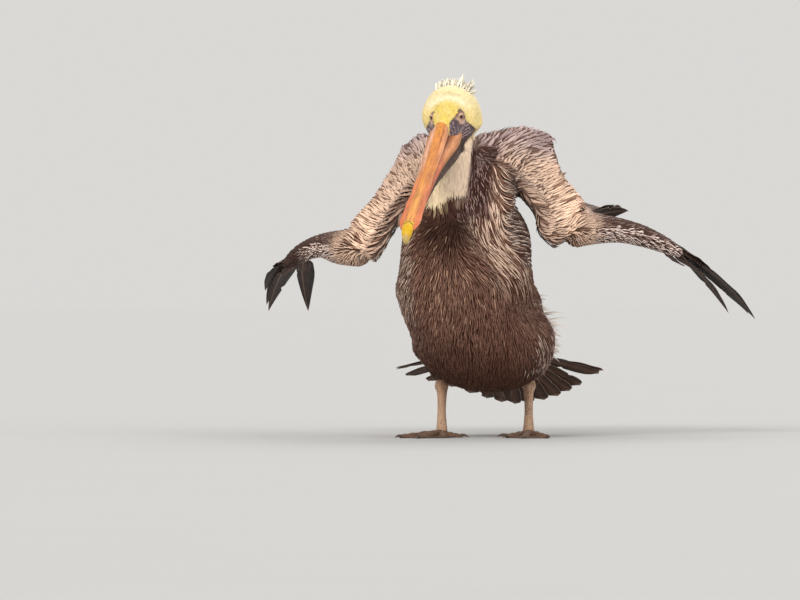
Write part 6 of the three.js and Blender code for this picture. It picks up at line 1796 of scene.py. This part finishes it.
for key, S in SIDES.items():
    g, ankle, toe = S["sign"], np.array(S["ankle"], float), np.array(S["toe"], float)
    rows = np.array([[*(ankle + A(0, 0, 6)), 8, 9, 9], [*(ankle + A(0, 0, -3)), 10.4, 11.6, 10.6], [*(ankle + A(-0.5 * g, -4, -14)), 7.4, 8.5, 8],
                     [*mix(ankle, toe, 0.55), 6.2, 8, 8], [*(toe + A(0, 1, 10)), 7.6, 8.5, 8.5], [*(toe + A(0, 0, 1)), 9, 10, 10]])
    rings, f, l, t = loft(rows, A(1, 0, 0), 130, 60, round_end=0.2)
    c = spline(rows, np.linspace(0, 1, 131))[:, :3]
    rad = norm(rings - c[:, None])
    u_mm = np.cumsum(np.concatenate([[0], np.linalg.norm(np.diff(c, axis=0), axis=1)]))[:, None] + 0 * rings[..., 0]
    ang = 2 * math.pi * (np.arange(60) + 0.5) / 60 + 0 * u_mm
    rings = rings - rad * 0.45 + rad * (0.75 * plate_relief(u_mm, ang, 3.4, 8.0))[..., None]
    rings[..., 2] = np.maximum(rings[..., 2], 0.6)
    v, qd, tr3 = capped(rings, f, np.maximum(l, A(-999, -999, 0.6)))
    low = smoothstep(30, 8, v[:, 2])[:, None]
    tone = mix(A(0.57, 0.345, 0.215), A(0.23, 0.120, 0.070), low)
    ob = make_mesh(f"tarsus_skin_{key}", place(v), [qd, tr3], M_LEG, colors={"tone": tone})
    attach(ob, "root"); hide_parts(f"tarsus_{key}")

    # foot: toes and the webs that join all four
    base = A(toe[0], toe[1], 0)
    pv, pq, pt, off = [], [], [], 0
    toes = []
    for turn, length, fat in ((-1.35, 36, 0.8), (-0.42, 66, 0.9), (0.02, 92, 1.0), (0.42, 88, 0.95)):
        a_ = (turn + S["toe_out"]) * g
        d = A(math.sin(a_), -math.cos(a_), 0)
        toes.append((d, length, fat))
        m = 40
        tt = np.linspace(0, 1, m)
        r0 = 4.6 * fat * (1.25 - 0.35 * tt) * np.where(tt > 0.93, 0.86, 1.0)
        knuckle = 1 + 0.13 * np.exp(-((tt - 0.45) / 0.06) ** 2) + 0.13 * np.exp(-((tt - 0.72) / 0.05) ** 2) + 0.10 * np.exp(-((tt - 0.93) / 0.05) ** 2)
        w, h = r0 * knuckle, 2 * r0 * (1.15 - 0.45 * tt) * knuckle * 0.98
        side_v = A(d[1], -d[0], 0)
        qq = 2 * math.pi * (np.arange(24) + 0.5) / 24
        cx, cz = np.cos(qq), np.sin(qq)
        zz = np.where(cz > 0, 0.42 + 0.56 * cz, 0.42 + 0.44 * cz)
        ring = (base + d * (tt * length)[:, None])[:, None] + side_v * (w[:, None] * cx)[..., None] + A(0, 0, 1) * (h[:, None] * zz)[..., None]
        vv, qd, t3 = capped(ring, base - d * 4 + A(0, 0, 2), base + d * (length + 2.5) + A(0, 0, 2))
        pv.append(vv); pq.append(qd + off); pt.append(t3 + off); off += len(vv)
    for (d1, l1, _), (d2, l2, _) in zip(toes, toes[1:]):
        m1, m2 = 26, 18
        U1, V1 = np.meshgrid(np.linspace(0.0, 1, m1), np.linspace(0, 1, m2), indexing="ij")
        p, q_ = base + d1 * (l1 - 3), base + d2 * (l2 - 3)
        ctrl = mix(mix(p, q_, 0.5), base, 0.13)
        edge = (1 - V1[..., None]) ** 2 * p + 2 * (V1 * (1 - V1))[..., None] * ctrl + V1[..., None] ** 2 * q_
        sheet = base + (edge - base) * (0.02 + 0.98 * U1)[..., None]
        fold = 0.35 * np.sin(V1 * 17 + U1 * 2) * smoothstep(0.2, 0.9, U1)
        topz = 2.05 + fold * 0.9 + 1.6 * (1 - U1) ** 2
        a1, b1 = sheet + A(0, 0, 1) * topz[..., None], sheet + A(0, 0, 0.0)
        # a closed slab as rings across its width
        ring = np.concatenate([a1, b1[:, ::-1]], 1)
        vv, qd, t3 = capped(ring, ring[0].mean(0), ring[-1].mean(0))
        pv.append(vv); pq.append(qd + off); pt.append(t3 + off); off += len(vv)
    # the joint where the shank meets the toes
    th = np.linspace(0.06, math.pi - 0.06, 22)
    ph = 2 * math.pi * (np.arange(28) + 0.5) / 28
    ball = base + A(0, 0.5, 6.2)
    ring = ball + np.stack([np.sin(th)[:, None] * np.cos(ph) * 9.6, np.sin(th)[:, None] * np.sin(ph) * 10.4, np.cos(th)[:, None] * 6.2 + 0 * ph], -1)
    vv, qd, t3 = capped(ring, ball + A(0, 0, 6.2), ball - A(0, 0, 6.2))
    pv.append(vv); pq.append(qd + off); pt.append(t3 + off)
    tmp = make_mesh("tmp_foot", np.concatenate(pv) / 1000, [np.concatenate(pq), np.concatenate(pt)])
    md = tmp.modifiers.new("melt", "REMESH")
    md.mode, md.voxel_size = "VOXEL", 0.00088
    ev = tmp.evaluated_get(bpy.context.evaluated_depsgraph_get())
    em = ev.to_mesh()
    fv_ = np.empty(len(em.vertices) * 3, np.float32)
    em.vertices.foreach_get("co", fv_)
    fv_ = fv_.reshape(-1, 3).astype(float) * 1000
    fl = np.empty(len(em.loops), np.int32)
    em.loops.foreach_get("vertex_index", fl)
    fl = fl.reshape(-1, 4)
    ev.to_mesh_clear()
    bpy.data.objects.remove(tmp, do_unlink=True)
    fe = np.unique(np.sort(np.concatenate([fl[:, [0, 1]], fl[:, [1, 2]], fl[:, [2, 3]], fl[:, [3, 0]]]), axis=1), axis=0)
    fval = np.bincount(fe.ravel(), minlength=len(fv_)).astype(float)[:, None]
    for it in range(4):
        acc = np.stack([np.bincount(fe[:, 0], fv_[fe[:, 1], k], len(fv_)) + np.bincount(fe[:, 1], fv_[fe[:, 0], k], len(fv_)) for k in range(3)], 1)
        fv_ = fv_ + (acc / fval - fv_) * (0.5 if it % 2 == 0 else -0.48)
    # cross-banded scutes along the top of every toe
    rel = fv_ - base
    topw = smoothstep(2.8, 4.5, fv_[:, 2])
    band = np.zeros(len(fv_))
    for d, length, fat in toes:
        tl, off_ = rel @ d, np.abs(rel @ A(d[1], -d[0], 0))
        near_toe = smoothstep(5.5, 3.0, off_) * smoothstep(4, 12, tl) * smoothstep(length + 4, length, tl)
        band = np.maximum(band, near_toe * (0.5 + 0.5 * np.cos(2 * math.pi * tl / 3.0)))
    fv_[:, 2] += 0.45 * band * topw
    fv_[:, 2] = np.where(fv_[:, 2] < 0.35, 0.0, fv_[:, 2])
    web = smoothstep(3.4, 2.4, fv_[:, 2])[:, None]
    tone = mix(A(0.225, 0.118, 0.068), A(0.100, 0.052, 0.034), web)
    ob = make_mesh(f"foot_skin_{key}", place(fv_), fl, M_FOOT, colors={"tone": tone})
    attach(ob, "root"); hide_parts(f"foot_{key}")
    for i, (d, length, fat) in enumerate(toes):
        side_v = A(d[1], -d[0], 0)
        rows = np.array([[*(base + d * (length - 3.5) + A(0, 0, 3.2)), 2.3, 2.5, 2.3], [*(base + d * (length + 3) + A(0, 0, 3.9)), 2.1, 2.3, 2.0],
                         [*(base + d * (length + 8.5) + A(0, 0, 3.0)), 1.4, 1.5, 1.2], [*(base + d * (length + 12.2) + A(0, 0, 0.9)), 0.35, 0.4, 0.35]])
        ring, f, l, t = loft(rows, side_v, 26, 18, round_end=0.3)
        ring[..., 2] = np.maximum(ring[..., 2], 0.0)
        v, qd, t3 = capped(ring, f, np.maximum(l, A(-999, -999, 0.2)))
        loc = v - base
        ob = make_mesh(f"claw_{key}_{i + 1}_horn", place(v), [qd, t3], M_CLAW, attrs={"lay": np.stack([loc @ d, loc @ side_v, loc[:, 2]], -1) / 1000})
        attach(ob, "root"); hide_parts(f"claw_{key}_{i + 1}")

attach(skin, "root")
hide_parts("trunk", "head", "neck_upper", "neck_lower", "thigh_left", "thigh_right",
            *[f"wing_{s}_{p}" for s in ("left", "right") for p in ("upper_arm", "forearm", "hand")])

# ------------------------------------------------------------------ stage
floor_m = G("studio_floor", 0.85)
floor_m.done(floor_m.mix(floor_m.noise(floor_m.obj(), 3.0, 2.0), (0.472, 0.475, 0.478), (0.486, 0.489, 0.492)))
t = np.linspace(0, 2 * math.pi, 97)[:-1]
ringp = np.stack([np.cos(t) * 120, np.sin(t) * 120, 0 * t], -1)
floor = make_mesh("studio_floor", np.concatenate([ringp, [[0, 0, 0]]]), np.stack([np.arange(96), (np.arange(96) + 1) % 96, np.full(96, 96)], -1), floor_m.m, smooth=False)

world = bpy.data.worlds.new("studio")
bpy.context.scene.world = world
world.use_nodes = True
world.node_tree.nodes["Background"].inputs[0].default_value = (0.700, 0.690, 0.672, 1)
world.node_tree.nodes["Background"].inputs[1].default_value = 1.0


def sun(name, toward, strength, spread_deg, color):
    """A far, very wide softbox, so the floor is lit evenly to its edge."""
    d = bpy.data.lights.new(name, "SUN")
    d.energy, d.angle, d.color = strength, math.radians(spread_deg), color
    o = bpy.data.objects.new(name, d)
    o.location = Vector(toward).normalized() * 5
    o.rotation_euler = Vector(toward).to_track_quat("Z", "Y").to_euler()
    bpy.context.scene.collection.objects.link(o)


sun("key", (-0.55, -1.0, 0.72), 1.95, 26, (1.0, 0.95, 0.88))
sun("fill", (0.9, -0.9, 0.30), 1.45, 70, (1.0, 0.98, 0.95))
sun("rim", (0.35, 1.0, 0.9), 0.9, 40, (1.0, 0.97, 0.92))

scene = bpy.context.scene
scene.view_settings.view_transform = "Standard"
scene.view_settings.look = "None"
cam_d = bpy.data.cameras.new("camera")
cam = bpy.data.objects.new("camera", cam_d)
scene.collection.objects.link(cam)
cam.location = place(A(-126, -9000, 207))
cam.rotation_euler = (math.radians(90), 0, 0)
cam_d.lens, cam_d.sensor_width, cam_d.sensor_fit = 270, 36, "HORIZONTAL"
cam_d.clip_start, cam_d.clip_end = 0.1, 200
cam_d.dof.use_dof = False
scene.camera = cam
